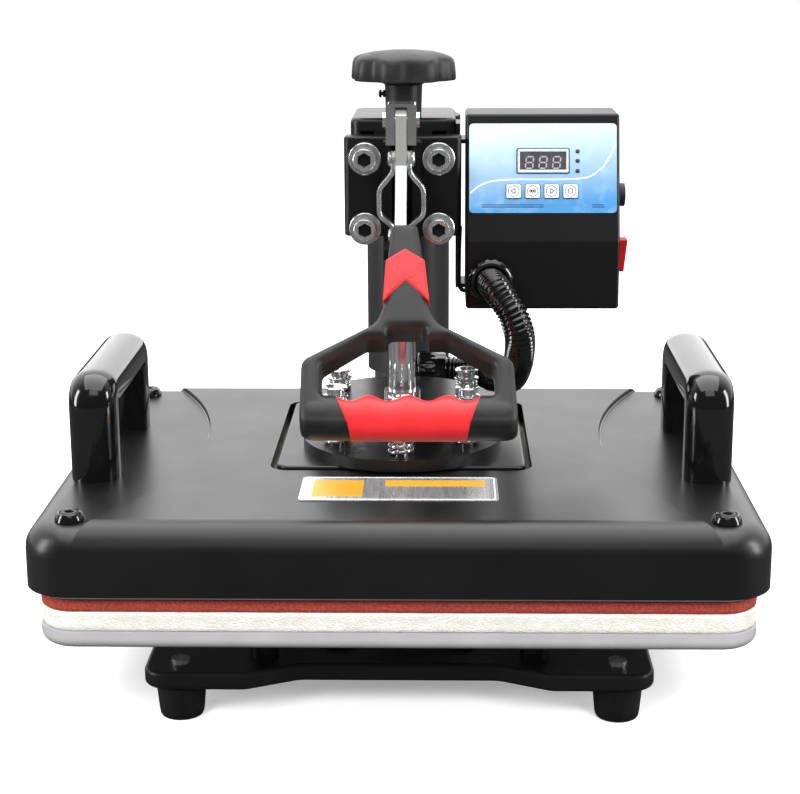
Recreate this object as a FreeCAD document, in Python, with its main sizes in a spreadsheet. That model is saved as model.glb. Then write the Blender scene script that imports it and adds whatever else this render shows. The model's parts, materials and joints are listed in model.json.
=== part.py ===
"""Swing-away heat press: a parametric document, one STEP file for each separate piece.

Frame: millimetres, +Z up, +X to the right, +Y to the back. The origin is on the floor, below the
middle of the machine. Y values in this file are measured from the press axis, and each finished piece
is then moved by MIDDLE. The press stands closed: handle down, platen on the pads.
"""
import FreeCAD
import Part
import math
import os
import re
import Sketcher

doc = FreeCAD.newDocument("HeatPress")

SIZES = {
    # Base frame and rubber feet
    "base_half": 141.3,
    "base_front": -131,
    "base_back": 250,
    "base_low": 20.4,
    "base_high": 30.6,
    "beam_front": -117,
    "foot_offset": 121.6,
    "foot_front": -114,
    "foot_back": 205,
    "foot_radius_low": 12,
    "foot_radius_high": 14,
    # Column: a fixed post, and the sleeve that turns on it
    "column_back": 197.4,
    "post_radius": 24,
    "post_high": 246,
    "sleeve_radius": 28.5,
    "sleeve_low": 127,
    "sleeve_high": 262,
    "bush_radius": 26,
    "running_gap": 0.05,
    # Lower tray and its pads
    "tray_half": 193.8,
    "tray_depth": 152.6,
    "tray_low": 52.9,
    "tray_high": 62.9,
    "tray_corner": 21,
    "spacer_offset": 76,
    "spacer_depth": 104,
    "sponge_low": 63,
    "sponge_high": 74.2,
    "silicone_low": 74.3,
    "silicone_high": 81.6,
    # Platen
    "plate_low": 81.8,
    "plate_high": 93,
    "cover_half": 199.8,
    "cover_depth": 159.8,
    "cover_low": 85.2,
    "wing_high": 120.6,
    "panel_high": 123.4,
    "cover_corner": 27,
    "cover_round": 17,
    "cover_wall": 3.2,
    "panel_arc_centre": 423,
    "panel_arc_back": 10,
    "panel_arc_radius": 303,
    "recess_half": 72.4,
    "recess_front": -47.7,
    "recess_back": 105,
    "recess_high": 124.6,
    "recess_gap": 3.8,
    "corner_screw_x": 175,
    "corner_screw_y": 136.3,
    "handle_side_x": 175.7,
    "handle_side_width": 27.5,
    "handle_side_half": 68.5,
    "handle_side_rise": 62,
    # Flanges between the plunger and the platen
    "lower_flange_radius": 59.5,
    "lower_flange_high": 131.6,
    "upper_flange_radius": 53.5,
    "upper_flange_low": 149.2,
    "upper_flange_high": 154.2,
    "flange_bolt_circle": 44.7,
    "flange_bolt_count": 6,
    "flange_bolt_seat": 159.8,
    "plunger_radius": 8,
    "plunger_low": 139,
    "barrel_radius": 10.5,
    "barrel_low": 191.8,
    "barrel_high": 238,
    # Toggle linkage: fixed pivot, moving knee and plunger head
    "pivot_high": 319.3,
    "knee_high": 296.8,
    "ankle_high": 252,
    "lever_half": 3.2,
    "link_inner": 3.4,
    "link_thick": 2.6,
    "link_spread": 14.3,
    "link_half_width": 5,
    # Pressing handle
    "handle_tilt": 40,
    "socket_front": -20,
    "socket_high": 263,
    "yoke_thick": 23,
    "yoke_half": 58.3,
    "grip_reach": 124.5,
    "grip_radius": 12.5,
    # Head on the swing arm, and the carriage that the pressure knob raises
    "head_half": 32,
    "head_front": 47,
    "head_back": 120,
    "head_low": 244,
    "head_high": 315.8,
    "head_wall": 3.4,
    "screw_back": 66,
    "bracket_half": 35.3,
    "bracket_gap": 6.1,
    "bracket_front": 32,
    "bracket_low": 246.3,
    "bracket_high": 306.4,
    "bracket_screw_x": 21.7,
    "bracket_screw_low": 254.7,
    "bracket_screw_high": 296,
    "pressure_travel": 8,
    "knob_radius": 33.2,
    "knob_low": 337.5,
    "knob_rim": 350.6,
    "knob_top": 355.3,
    # Control box
    "case_left": 38,
    "case_right": 130,
    "case_low": 204,
    "case_high": 318.7,
    "case_top_front": 42,
    "case_front": 19,
    "case_crease": 245,
    "case_split": 70,
    "case_back": 83,
    "case_wall": 2.4,
    "conduit_radius": 9,
}

sheet = doc.addObject("Spreadsheet::Sheet", "Sizes")
for row, (alias, size) in enumerate(SIZES.items(), start=1):
    sheet.set(f"A{row}", alias)
    sheet.set(f"B{row}", str(size))
    sheet.setAlias(f"B{row}", alias)
doc.recompute()

# Document objects that are sub-parts, by the name of their file
SUBPARTS = {}
# How far the middle of the machine, from front edge to back edge, lies behind the press axis
MIDDLE = "(base_back - cover_depth) / 2"


# ---------------------------------------------------------------- formulas and placing
def formula(text):
    """A formula on the sheet's words, as FreeCAD expects it."""
    return re.sub(r"[a-z][a-z_]+", lambda word: f"Sizes.{word[0]}" if word[0] in SIZES else word[0],
                  str(text))


def number(text):
    """The present value of a formula."""
    result = sheet.evalExpression(formula(text))
    return float(getattr(result, "Value", result))


def bind(thing, **formulas):
    """Tie properties of an object to formulas."""
    for name, text in formulas.items():
        thing.setExpression(name, formula(text))


ABOUT_X = FreeCAD.Vector(1, 0, 0)
ABOUT_Y = FreeCAD.Vector(0, 1, 0)
ABOUT_Z = FreeCAD.Vector(0, 0, 1)
# Turns that point an upright piece another way
UPRIGHT = FreeCAD.Rotation()
TO_FRONT = FreeCAD.Rotation(ABOUT_X, 90)
TO_RIGHT = FreeCAD.Rotation(ABOUT_Y, 90)


def place(thing, x=0, y=0, z=0, turn=UPRIGHT):
    """Put an object at a point given by formulas, after a fixed turn."""
    thing.Placement = FreeCAD.Placement(FreeCAD.Vector(), turn)
    for axis, text in zip("xyz", (x, y, z)):
        thing.setExpression(f"Placement.Base.{axis}", formula(text))
    return thing


def subpart(thing, node):
    """Name an object as a finished piece, and move it from the press axis to the machine's middle."""
    thing.Label = node
    SUBPARTS[node] = thing
    # A mirrored copy follows its source, which is itself a finished and moved piece
    if thing.TypeId != "Part::Mirroring":
        placed = dict(thing.ExpressionEngine)
        y = placed.get("Placement.Base.y", placed.get(".Placement.Base.y", "0"))
        thing.setExpression("Placement.Base.y", f"{y} - {formula(MIDDLE)}")
    return thing


# ---------------------------------------------------------------- plain solids
def box(name, x, y, z):
    """A block between two formulas on each axis."""
    block = doc.addObject("Part::Box", name)
    for side, (low, high) in zip(("Length", "Width", "Height"), (x, y, z)):
        block.setExpression(side, formula(f"({high}) - ({low})"))
    return place(block, x[0], y[0], z[0])


def rod(name, radius, length, x=0, y=0, z=0, turn=UPRIGHT):
    """A cylinder that starts at a point."""
    cylinder = doc.addObject("Part::Cylinder", name)
    bind(cylinder, Radius=radius, Height=length)
    return place(cylinder, x, y, z, turn)


def hexagon(name, radius, length, x=0, y=0, z=0, turn=UPRIGHT):
    """A hexagonal prism, for bolt heads and nuts."""
    prism = doc.addObject("Part::Prism", name)
    prism.Polygon = 6
    bind(prism, Circumradius=radius, Height=length)
    return place(prism, x, y, z, turn)


def fuse(name, *pieces):
    """One solid made of several."""
    joined = doc.addObject("Part::MultiFuse", name)
    joined.Shapes = list(pieces)
    joined.Refine = True
    return joined


def group(name, pieces):
    """Several separate solids kept together."""
    together = doc.addObject("Part::Compound", name)
    together.Links = list(pieces)
    return together


def cut(name, base, *tools):
    """A solid with others taken away."""
    carved = doc.addObject("Part::Cut", name)
    carved.Base = base
    carved.Tool = tools[0] if len(tools) == 1 else group(f"{name}_tools", tools)
    return carved


def common(name, base, tool):
    """What two solids share."""
    shared = doc.addObject("Part::Common", name)
    shared.Base = base
    shared.Tool = tool
    return shared


def mirror(name, source):
    """The left-hand copy of a right-hand piece."""
    twin = doc.addObject("Part::Mirroring", name)
    twin.Source = source
    twin.Normal = ABOUT_X
    return twin


def screw(name, head, shank, x, y, z, turn=UPRIGHT, socket=0):
    """A screw whose head rests on a point. head and shank are (radius, length)."""
    upright = fuse(
        f"{name}_body",
        rod(f"{name}_head", head[0], head[1]),
        rod(f"{name}_shank", shank[0], shank[1], 0, 0, f"-({shank[1]})"),
    )
    if socket:
        upright = cut(f"{name}_cut", upright,
                      hexagon(f"{name}_socket", socket, head[1], 0, 0, f"({head[1]}) / 2"))
    return place(upright, x, y, z, turn)


def four(name, make, x, y, y_back=None):
    """Four copies of a piece at the corners of a rectangle."""
    corners = [(sx, where) for sx in (1, -1) for where in (f"-({y})", y if y_back is None else y_back)]
    return [make(f"{name}_{i}", f"{sx} * ({x})", where) for i,
            (sx, where) in enumerate(corners, start=1)]


# ---------------------------------------------------------------- sketched solids
def origin_plane(body, role):
    """One of a body's own origin planes."""
    return next(plane for plane in body.Origin.OriginFeatures if plane.Role == role)


def outline(body, name, role, points, offset=0):
    """A closed polygon on an origin plane. Each corner is tied to two formulas."""
    sketch = body.newObject("Sketcher::SketchObject", name)
    sketch.AttachmentSupport = [(origin_plane(body, role), "")]
    sketch.MapMode = "FlatFace"
    sketch.setExpression("AttachmentOffset.Base.z", formula(offset))
    corners = [FreeCAD.Vector(number(x), number(y), 0) for x, y in points]
    for here, there in zip(corners, corners[1:] + corners[:1]):
        sketch.addGeometry(Part.LineSegment(here, there), False)
    for i, corner in enumerate(points):
        following = (i + 1) % len(points)
        sketch.addConstraint(Sketcher.Constraint("Coincident", i, 2, following, 1))
        for kind, text in zip(("DistanceX", "DistanceY"), corner):
            index = sketch.addConstraint(Sketcher.Constraint(kind, -1, 1, i, 1, number(text)))
            sketch.renameConstraint(index, f"{kind}_{i}")
            sketch.setExpression(f"Constraints.{kind}_{i}", formula(text))
    return sketch


def pad(body, sketch, length, backwards=False):
    """Thicken a sketch into a solid."""
    feature = body.newObject("PartDesign::Pad", f"{sketch.Name}_pad")
    feature.Profile = sketch
    feature.Reversed = backwards
    bind(feature, Length=length)
    doc.recompute()
    return feature


def prism(name, role, points, offset, length, backwards=False):
    """A body with a polygon outline on an origin plane."""
    body = doc.addObject("PartDesign::Body", name)
    pad(body, outline(body, f"{name}_outline", role, points, offset), length, backwards)
    return body


def soften(body, radius, chosen, kind="Fillet"):
    """Round or bevel the edges of a body that a test picks out."""
    doc.recompute()
    base = body.Tip
    edges = [f"Edge{i}" for i, edge in enumerate(base.Shape.Edges, start=1) if chosen(edge)]
    feature = body.newObject(f"PartDesign::{kind}", f"{base.Name}_{kind.lower()}")
    feature.Base = (base, edges)
    bind(feature, **{"Radius" if kind == "Fillet" else "Size": radius})
    doc.recompute()
    return feature


def along(axis):
    """A test for straight edges that run along an axis."""
    others = [letter for letter in "XYZ" if letter != axis]

    def chosen(edge):
        bounds = edge.BoundBox
        return all(getattr(bounds, f"{letter}Length") < 1e-4 for letter in others)

    return chosen


def level(axis, text):
    """A test for edges that lie in the plane where an axis has one value."""
    target = number(text)

    def chosen(edge):
        bounds = edge.BoundBox
        low, high = getattr(bounds, f"{axis}Min"), getattr(bounds, f"{axis}Max")
        return abs(low - target) < 1e-4 and abs(high - target) < 1e-4

    return chosen


def rounded_block(name, x, y, z, corner, top=0, bottom=0):
    """An upright block with round corners, and round top or bottom edges where asked."""
    points = [(x[0], y[0]), (x[1], y[0]), (x[1], y[1]), (x[0], y[1])]
    body = prism(name, "XY_Plane", points, z[0], f"({z[1]}) - ({z[0]})")
    soften(body, corner, along("Z"))
    if top:
        soften(body, top, level("Z", z[1]))
    if bottom:
        soften(body, bottom, level("Z", z[0]))
    return body


def both(text):
    """The range from minus to plus a formula."""
    return f"-({text})", text


# ---------------------------------------------------------------- base
def base_frame():
    half = [
        ("base_half", "base_back"), ("base_half", "base_front"), (84, "base_front"), (55, "beam_front"),
    ]
    points = half + [(f"-({x})", y) for x, y in reversed(half)]
    body = prism("frame_body", "XY_Plane", points, "base_low", "base_high - base_low")
    soften(body, 14, along("Z"))
    soften(body, 2.5, lambda edge: level("Z", "base_high")(edge) or level("Z", "base_low")(edge))
    height = ("base_low - 1", "base_high + 1")
    windows = []
    for side, sign in (("right", 1), ("left", -1)):
        x = (40, 118) if sign > 0 else (-118, -40)
        windows.append(rounded_block(f"front_window_{side}", x, (-82, 82), height, 18))
        x = (62, 118) if sign > 0 else (-118, -62)
        windows.append(rounded_block(f"back_window_{side}", x, (124, 180), height, 14))
    holes = four("foot_hole", lambda name, x, y: rod(name, 2.55, 12, x, y, "base_low - 1"),
                 "foot_offset", "-foot_front", "foot_back")
    holes += four("spacer_hole", lambda name, x, y: rod(name, 3.05, 12, x, y, "base_low - 1"),
                  "spacer_offset", "spacer_depth")
    holes += four("spacer_seat", lambda name, x, y: rod(name, 8.3, 4, x, y, "base_high - 1.6"),
                  "spacer_offset", "spacer_depth")
    holes += [rod(f"post_hole_{i}", 4.1, 12, x, y, "base_low - 1") for i,
              (x, y) in enumerate(POST_BOLTS, start=1)]
    holes += [rod(f"front_recess_{i}", 8, 2, x, -94, "base_high - 1.2") for i,
              x in enumerate((-34, 34), start=1)]
    return subpart(cut("base_casting", body, *windows, *holes), "base_frame")


POST_BOLTS = [(f"{sx} * 27", f"column_back + {sy} * 27") for sx in (-1, 1) for sy in (-1, 1)]


def base_feet():
    def foot(name, x, y):
        cone = doc.addObject("Part::Cone", f"{name}_cone")
        bind(cone, Radius1="foot_radius_low", Radius2="foot_radius_high", Height="base_low")
        place(cone, x, y, 0)
        return cut(name, cone, rod(f"{name}_bore", 2.55, 20, x, y, 5))

    feet = group("feet", four("foot", foot, "foot_offset", "-foot_front", "foot_back"))
    subpart(feet, "base_feet")

    def foot_screw(name, x, y):
        return screw(name, (5.2, 2.6), (2.5, "base_high - 6"), x, y, "base_high", socket=2.4)

    screws = group("foot_screw_set", four("foot_screw", foot_screw, "foot_offset", "-foot_front",
                                          "foot_back"))
    subpart(screws, "foot_screws")


def column():
    foot = rod("post_flange", 47, 8, 0, "column_back", "base_high")
    tube = rod("post_tube", "post_radius", "post_high - base_high", 0, "column_back", "base_high")
    holes = [rod(f"flange_hole_{i}", 4.1, 12, x, y, "base_high - 1") for i,
             (x, y) in enumerate(POST_BOLTS, start=1)]
    bore = rod("post_bore", "post_radius - 6", 240, 0, "column_back", "base_high - 1")
    subpart(cut("post", fuse("post_solid", foot, tube), bore, *holes), "column_post")
    bolts = []
    for i, (x, y) in enumerate(POST_BOLTS, start=1):
        head = hexagon(f"post_bolt_head_{i}", 7.5, 5.3, x, y, "base_high + 8")
        shank = rod(f"post_bolt_shank_{i}", 4, 17.5, x, y, "base_high - 9.5")
        bolts.append(fuse(f"post_bolt_{i}", head, shank))
    subpart(group("post_bolt_set", bolts), "post_bolts")


def tray():
    block = rounded_block("tray_block", both("tray_half"), both("tray_depth"),
                          ("tray_low", "tray_high"),
                          "tray_corner", bottom=6)
    holes = four("tray_hole", lambda name, x, y: rod(name, 3.05, 12, x, y, "tray_low - 1"),
                 "spacer_offset", "spacer_depth")
    holes += four("tray_sink", lambda name, x, y: rod(name, 5.6, 5, x, y, "tray_high - 4"),
                  "spacer_offset", "spacer_depth")
    subpart(cut("tray", block, *holes), "lower_tray")

    def spacer(name, x, y):
        length = "tray_low - base_high + 1.6"
        tube = rod(f"{name}_tube", 8, length, x, y, "base_high - 1.6")
        return cut(name, tube, rod(f"{name}_bore", 3.05, 30, x, y, "base_high - 3"))

    subpart(group("spacers", four("spacer", spacer, "spacer_offset", "spacer_depth")), "tray_spacers")

    def tray_screw(name, x, y):
        return screw(name, (5.4, 3.8), (3, 37), x, y, "tray_high - 4", socket=2.9)

    subpart(group("tray_screw_set", four("tray_screw", tray_screw, "spacer_offset", "spacer_depth")),
            "tray_screws")
    subpart(rounded_block("sponge", both("tray_half - 0.6"), both("tray_depth - 0.6"),
                          ("sponge_low", "sponge_high"), "tray_corner"), "sponge_pad")
    subpart(rounded_block("silicone", both("tray_half - 0.2"), both("tray_depth - 0.2"),
                          ("silicone_low", "silicone_high"), "tray_corner"), "silicone_pad")


# ---------------------------------------------------------------- platen
PILLARS = [(x, y) for x in (-58, 58) for y in (-33, 90)]


def platen_cover():
    wings = rounded_block("wing_block", both("cover_half"), both("cover_depth"),
                          ("cover_low", "wing_high"),
                          "cover_corner", top="cover_round - panel_high + wing_high")
    tall = rounded_block("panel_block", both("cover_half - 0.4"), both("cover_depth - 0.4"),
                         ("cover_low", "panel_high"),
                         "cover_corner", top="cover_round")
    cutters = [
        rod(f"panel_side_{side}", "panel_arc_radius", 60, f"{sign} * panel_arc_centre",
            "panel_arc_back", "cover_low - 1")
        for side, sign in (("left", -1), ("right", 1))
    ]
    shell = fuse("cover_outside", wings, cut("panel_band", tall, *cutters))
    inside = rounded_block("cover_inside", both("cover_half - cover_wall"),
                           both("cover_depth - cover_wall"),
                           ("cover_low - 5", "wing_high - cover_wall"), "cover_corner - cover_wall",
                           top="cover_round - cover_wall - 3")
    opening = rounded_block("cover_opening", both("recess_half + recess_gap"),
                            ("recess_front - recess_gap", "recess_back + recess_gap"), (100, 130), 11)
    hollow = cut("cover_hollow", shell, inside, opening)
    bosses = four("cover_boss", lambda name, x,
                  y: rod(name, 7, "wing_high - plate_high - 1.1", x, y, "plate_high + 0.1"),
                  "corner_screw_x", "corner_screw_y")
    holes = four("cover_bore", lambda name, x, y: rod(name, 2.55, 40, x, y, "plate_high - 1"),
                 "corner_screw_x", "corner_screw_y")
    holes += four("leg_hole", lambda name, x, y: rod(name, 3.05, 20, x, y, "wing_high - 10"),
                  "handle_side_x", LEG_Y[1])
    subpart(cut("cover", fuse("cover_body", hollow, *bosses), *holes), "platen_cover")

    def corner_screw(name, x, y):
        collar = cut(f"{name}_ring", rod(f"{name}_collar", 8, 4.4, x, y, "wing_high"),
                     rod(f"{name}_collar_bore", 2.55, 6, x, y, "wing_high - 1"),
                     rod(f"{name}_collar_sink", 5.4, 4, x, y, "wing_high + 2"))
        fixing = screw(f"{name}_screw", (5.2, 3), (2.5, "wing_high - plate_high + 7"), x, y,
                       "wing_high + 2", socket=2.4)
        return group(name, [collar, fixing])

    subpart(group("corner_screws", four("corner", corner_screw, "corner_screw_x", "corner_screw_y")),
            "cover_screws")


def heater():
    plate = rounded_block("plate_block", both("tray_half - 0.1"), both("tray_depth - 0.2"),
                          ("plate_low", "plate_high"), "tray_corner")
    holes = four("plate_bore", lambda name, x, y: rod(name, 2.55, 12, x, y, "plate_high - 6"),
                 "corner_screw_x", "corner_screw_y")
    subpart(cut("plate", plate, *holes), "heating_plate")
    slab = rounded_block("insulation_block", both("tray_half - 6"), both("tray_depth - 6"),
                         ("plate_high + 9", "plate_high + 16"), 20)
    clear = [rod(f"pillar_clear_{i}", 10, 20, x, y, "plate_high + 3") for i,
             (x, y) in enumerate(PILLARS, start=1)]
    clear += four("boss_clear", lambda name, x, y: rod(name, 9, 20, x, y, "plate_high + 3"),
                  "corner_screw_x", "corner_screw_y")
    subpart(cut("insulation", slab, *clear), "insulation_pad")
    # The heating element is a bent tube that lies on the plate in a wide U
    reach, front, back, height = 150, -120, 120, number("plate_high + 4.3")
    turns = [(-30, back), (-reach, back), (-reach, front), (reach, front), (reach, back), (30, back)]
    spine = Part.makePolygon([FreeCAD.Vector(x, y, height) for x, y in turns])
    ring = Part.Wire(Part.makeCircle(4, FreeCAD.Vector(-30, back, height), FreeCAD.Vector(-1, 0, 0)))
    element = doc.addObject("Part::Feature", "element")
    element.Shape = spine.makePipeShell([ring], True, False, 2)
    subpart(element, "heater_element")


LEG_Y = ("-(handle_side_half - 12.5)", "handle_side_half - 12.5")


def side_handles():
    high = "wing_high + handle_side_rise"
    points = [
        ("-handle_side_half", "wing_high"), ("-handle_side_half", high), ("handle_side_half", high),
        ("handle_side_half", "wing_high"), ("handle_side_half - 25", "wing_high"),
        ("handle_side_half - 25", f"{high} - 21"), ("-(handle_side_half - 25)", f"{high} - 21"),
        ("-(handle_side_half - 25)", "wing_high"),
    ]
    body = prism("grab_bar", "YZ_Plane", points, "handle_side_x - handle_side_width / 2",
                 "handle_side_width")
    # The outer shoulders are wide curves, the inner ones tighter
    shoulder = level("Z", high)
    soften(body, 20, lambda edge: along("X")(edge) and shoulder(edge))
    inner = level("Z", f"{high} - 21")
    soften(body, 14, lambda edge: along("X")(edge) and inner(edge))
    edge_low, edge_high = number("wing_high + 1"), number(f"{high} - 22")

    def outer_rim(edge):
        bounds = edge.BoundBox
        flat = bounds.XLength < 1e-4
        outside = bounds.ZMax > edge_high + 1.5 or max(abs(bounds.YMin), abs(bounds.YMax)) > 68
        return flat and outside and bounds.ZMax > edge_low

    soften(body, 9, outer_rim)
    bores = [rod(f"leg_bore_{i}", 3.05, 24, "handle_side_x", y, "wing_high - 1") for i,
             y in enumerate(LEG_Y, start=1)]
    right = cut("grab_bar_right", body, *bores)
    subpart(right, "side_handle_right")
    subpart(mirror("grab_bar_left", right), "side_handle_left")

    def leg_screw(name, x, y):
        return screw(name, (5.2, 4), (3, 24), x, y, "wing_high - cover_wall",
                     FreeCAD.Rotation(ABOUT_X, 180), socket=2.9)

    subpart(group("leg_screw_set", four("leg_screw", leg_screw, "handle_side_x", LEG_Y[1])),
            "handle_screws")


def recess():
    plate = rounded_block("recess_block", both("recess_half"), ("recess_front", "recess_back"),
                          ("recess_high - 7", "recess_high"), 8, top=1.5)
    pillars = [rod(f"pillar_{i}", 8, "recess_high - plate_high - 2", x, y, "plate_high + 0.1")
               for i, (x, y) in enumerate(PILLARS, start=1)]
    subpart(fuse("recess", plate, *pillars), "recess_plate")


def cable_inlet():
    post = rod("inlet_post", 9, "38", 0, 82, "recess_high")
    elbow = rod("inlet_elbow", 9, 12, 0, 82, 151, TO_RIGHT)
    nut = rod("inlet_nut", 12.5, 18, 8, 82, 151, TO_RIGHT)
    bore = rod("inlet_bore", "conduit_radius + 0.4", 20, 14, 82, 151, TO_RIGHT)
    subpart(cut("inlet", fuse("inlet_solid", post, elbow, nut), bore), "lower_gland")


# ---------------------------------------------------------------- flanges and plunger
def circle_points():
    """Places round the flange bolt circle, one of them at the front centre."""
    step = 360 / SIZES["flange_bolt_count"]
    angles = [90 + step * i for i in range(SIZES["flange_bolt_count"])]
    return [(f"flange_bolt_circle * cos({angle})",
             f"flange_bolt_circle * sin({angle})") for angle in angles]


def flanges():
    places = list(enumerate(circle_points(), start=1))
    lower = rod("lower_disc", "lower_flange_radius", "lower_flange_high - recess_high", 0, 0,
                "recess_high")
    taps = [rod(f"tap_{i}", 4.05, 6, x, y, "lower_flange_high - 5") for i, (x, y) in places]
    subpart(cut("lower_ring", lower, *taps), "lower_flange")
    upper = rod("upper_disc", "upper_flange_radius", "upper_flange_high - upper_flange_low", 0, 0,
                "upper_flange_low")
    clear = [rod(f"clear_{i}", 4.5, 8, x, y, "upper_flange_low - 1") for i, (x, y) in places]
    centre = rod("upper_centre", "plunger_radius + running_gap", 8, 0, 0, "upper_flange_low - 1")
    subpart(cut("upper_ring", upper, centre, *clear), "upper_flange")
    bolts, springs = [], []
    for i, (x, y) in places:
        collar = rod(f"bolt_collar_{i}", 7.4, 1.8, x, y, "flange_bolt_seat")
        head = hexagon(f"bolt_head_{i}", 6.6, 5, x, y, "flange_bolt_seat + 1")
        shank = rod(f"bolt_shank_{i}", 4, "flange_bolt_seat - lower_flange_high + 4.8", x, y,
                    "lower_flange_high - 4.6")
        bolts.append(fuse(f"flange_bolt_{i}", collar, head, shank))
        springs.append(spring(f"spring_{i}", x, y))
    subpart(group("flange_bolt_set", bolts), "flange_bolts")
    subpart(group("spring_set", springs), "flange_springs")


def spring(name, x, y):
    """A coil spring that stands on the lower flange."""
    coil = doc.addObject("Part::Helix", f"{name}_coil")
    bind(coil, Radius=6.6, Pitch=3.4, Height="upper_flange_low - lower_flange_high - 2.6")
    wire = doc.addObject("Part::RegularPolygon", f"{name}_wire")
    wire.Polygon = 8
    bind(wire, Circumradius=1.1)
    place(wire, 6.6, 0, 0, TO_FRONT)
    sweep = doc.addObject("Part::Sweep", name)
    sweep.Sections = [wire]
    sweep.Spine = (coil, [])
    sweep.Solid = True
    sweep.Frenet = True
    return place(sweep, x, y, "lower_flange_high + 1.3")


def plunger():
    shaft = rod("shaft", "plunger_radius", "barrel_high - plunger_low", 0, 0, "plunger_low")
    points = [(-7.2, "barrel_high - 2"), (7.2, "barrel_high - 2"), (7.2, "ankle_high + 4"),
              (4, "ankle_high + 8"), (-4, "ankle_high + 8"), (-7.2, "ankle_high + 4")]
    tongue = prism("tongue", "YZ_Plane", points, "-lever_half", "2 * lever_half")
    subpart(fuse("plunger", shaft, tongue), "plunger_shaft")
    top = rod("collar", 10.8, 5, 0, 0, "upper_flange_high")
    low = hexagon("lock_nut", 12, 8, 0, 0, "upper_flange_low - 8")
    bore = rod("nut_bore", "plunger_radius + running_gap", 40, 0, 0, "plunger_low - 2")
    subpart(cut("nuts", group("nut_blanks", [top, low]), bore), "plunger_nut")


# ---------------------------------------------------------------- toggle linkage and handle
def links():
    inner, outer = "link_inner", "link_inner + link_thick"
    wide_in, wide_out = "link_spread - link_thick", "link_spread"
    points = [
        (inner, "knee_high + 5"), (outer, "knee_high + 5"), (outer, "knee_high - 7"),
        (wide_out, "knee_high - 16.5"), (wide_out, "ankle_high + 11"), (outer, "ankle_high + 5"),
        (outer, "ankle_high - 5"), (inner, "ankle_high - 5"), (inner, "ankle_high + 6.5"),
        (wide_in, "ankle_high + 12.5"), (wide_in, "knee_high - 18"), (inner, "knee_high - 8.5"),
    ]
    strip = prism("link_strip", "XZ_Plane", points, "-link_half_width", "2 * link_half_width")
    soften(strip, 4.8, lambda edge: along("X")(edge) and (
        abs(edge.BoundBox.ZMin - number("knee_high + 5")) < 0.01
        or abs(edge.BoundBox.ZMin - number("ankle_high - 5")) < 0.01))
    rivet = rod("knee_rivet", 4.4, 2, outer, 0, "knee_high", TO_RIGHT)
    toe = rod("ankle_rivet", 4, 2, outer, 0, "ankle_high", TO_RIGHT)
    right = fuse("link_right", strip, rivet, toe)
    left = mirror("link_left", right)
    pin = rod("knee_pin", 2.5, "2 * link_inner", "-link_inner", 0, "knee_high", TO_RIGHT)
    subpart(fuse("link_pair", right, left, pin), "toggle_links")


def along_handle(distance, across=0):
    """A point (Y, Z) at a distance down the handle, and across towards its back."""
    y = f"socket_front - ({distance}) * sin(handle_tilt) + ({across}) * cos(handle_tilt)"
    z = f"socket_high - ({distance}) * cos(handle_tilt) - ({across}) * sin(handle_tilt)"
    return y, z


def lever():
    points = [
        (-3, "pivot_high + 6"), (3, "pivot_high + 6"), (5.6, "pivot_high + 3"), (6, "knee_high - 6"),
        along_handle(0, 6), along_handle(34, 6), along_handle(34, -6), along_handle(0, -6),
        (-7, "knee_high - 3"), (-6, "pivot_high + 3"),
    ]
    bar = prism("lever_body", "YZ_Plane", points, "-lever_half", "2 * lever_half")
    pivot = rod("lever_pivot", 3.05, 20, -10, 0, "pivot_high", TO_RIGHT)
    knee = rod("lever_knee", 2.55, 20, -10, 0, "knee_high", TO_RIGHT)
    subpart(cut("lever", bar, pivot, knee), "lever_bar")


def tilted(body):
    """Turn a piece drawn flat, its Y axis up the handle, into the handle's place."""
    turn = FreeCAD.Rotation(ABOUT_X, 90 - SIZES["handle_tilt"])
    return place(body, 0, "socket_front", "socket_high", turn)


def symmetric(half):
    """A closed outline from the points of its right-hand half."""
    return half + [(f"-({x})", y) for x, y in reversed(half)]


def grip_wedge(name, slack):
    """The tapered block that divides the grip from the ends of the cross bar."""
    points = symmetric([(f"32 + {slack}", "-grip_reach - 22"), (f"40.5 + {slack}", "-grip_reach + 16")])
    return prism(name, "XY_Plane", points, -20, 40)


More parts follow.
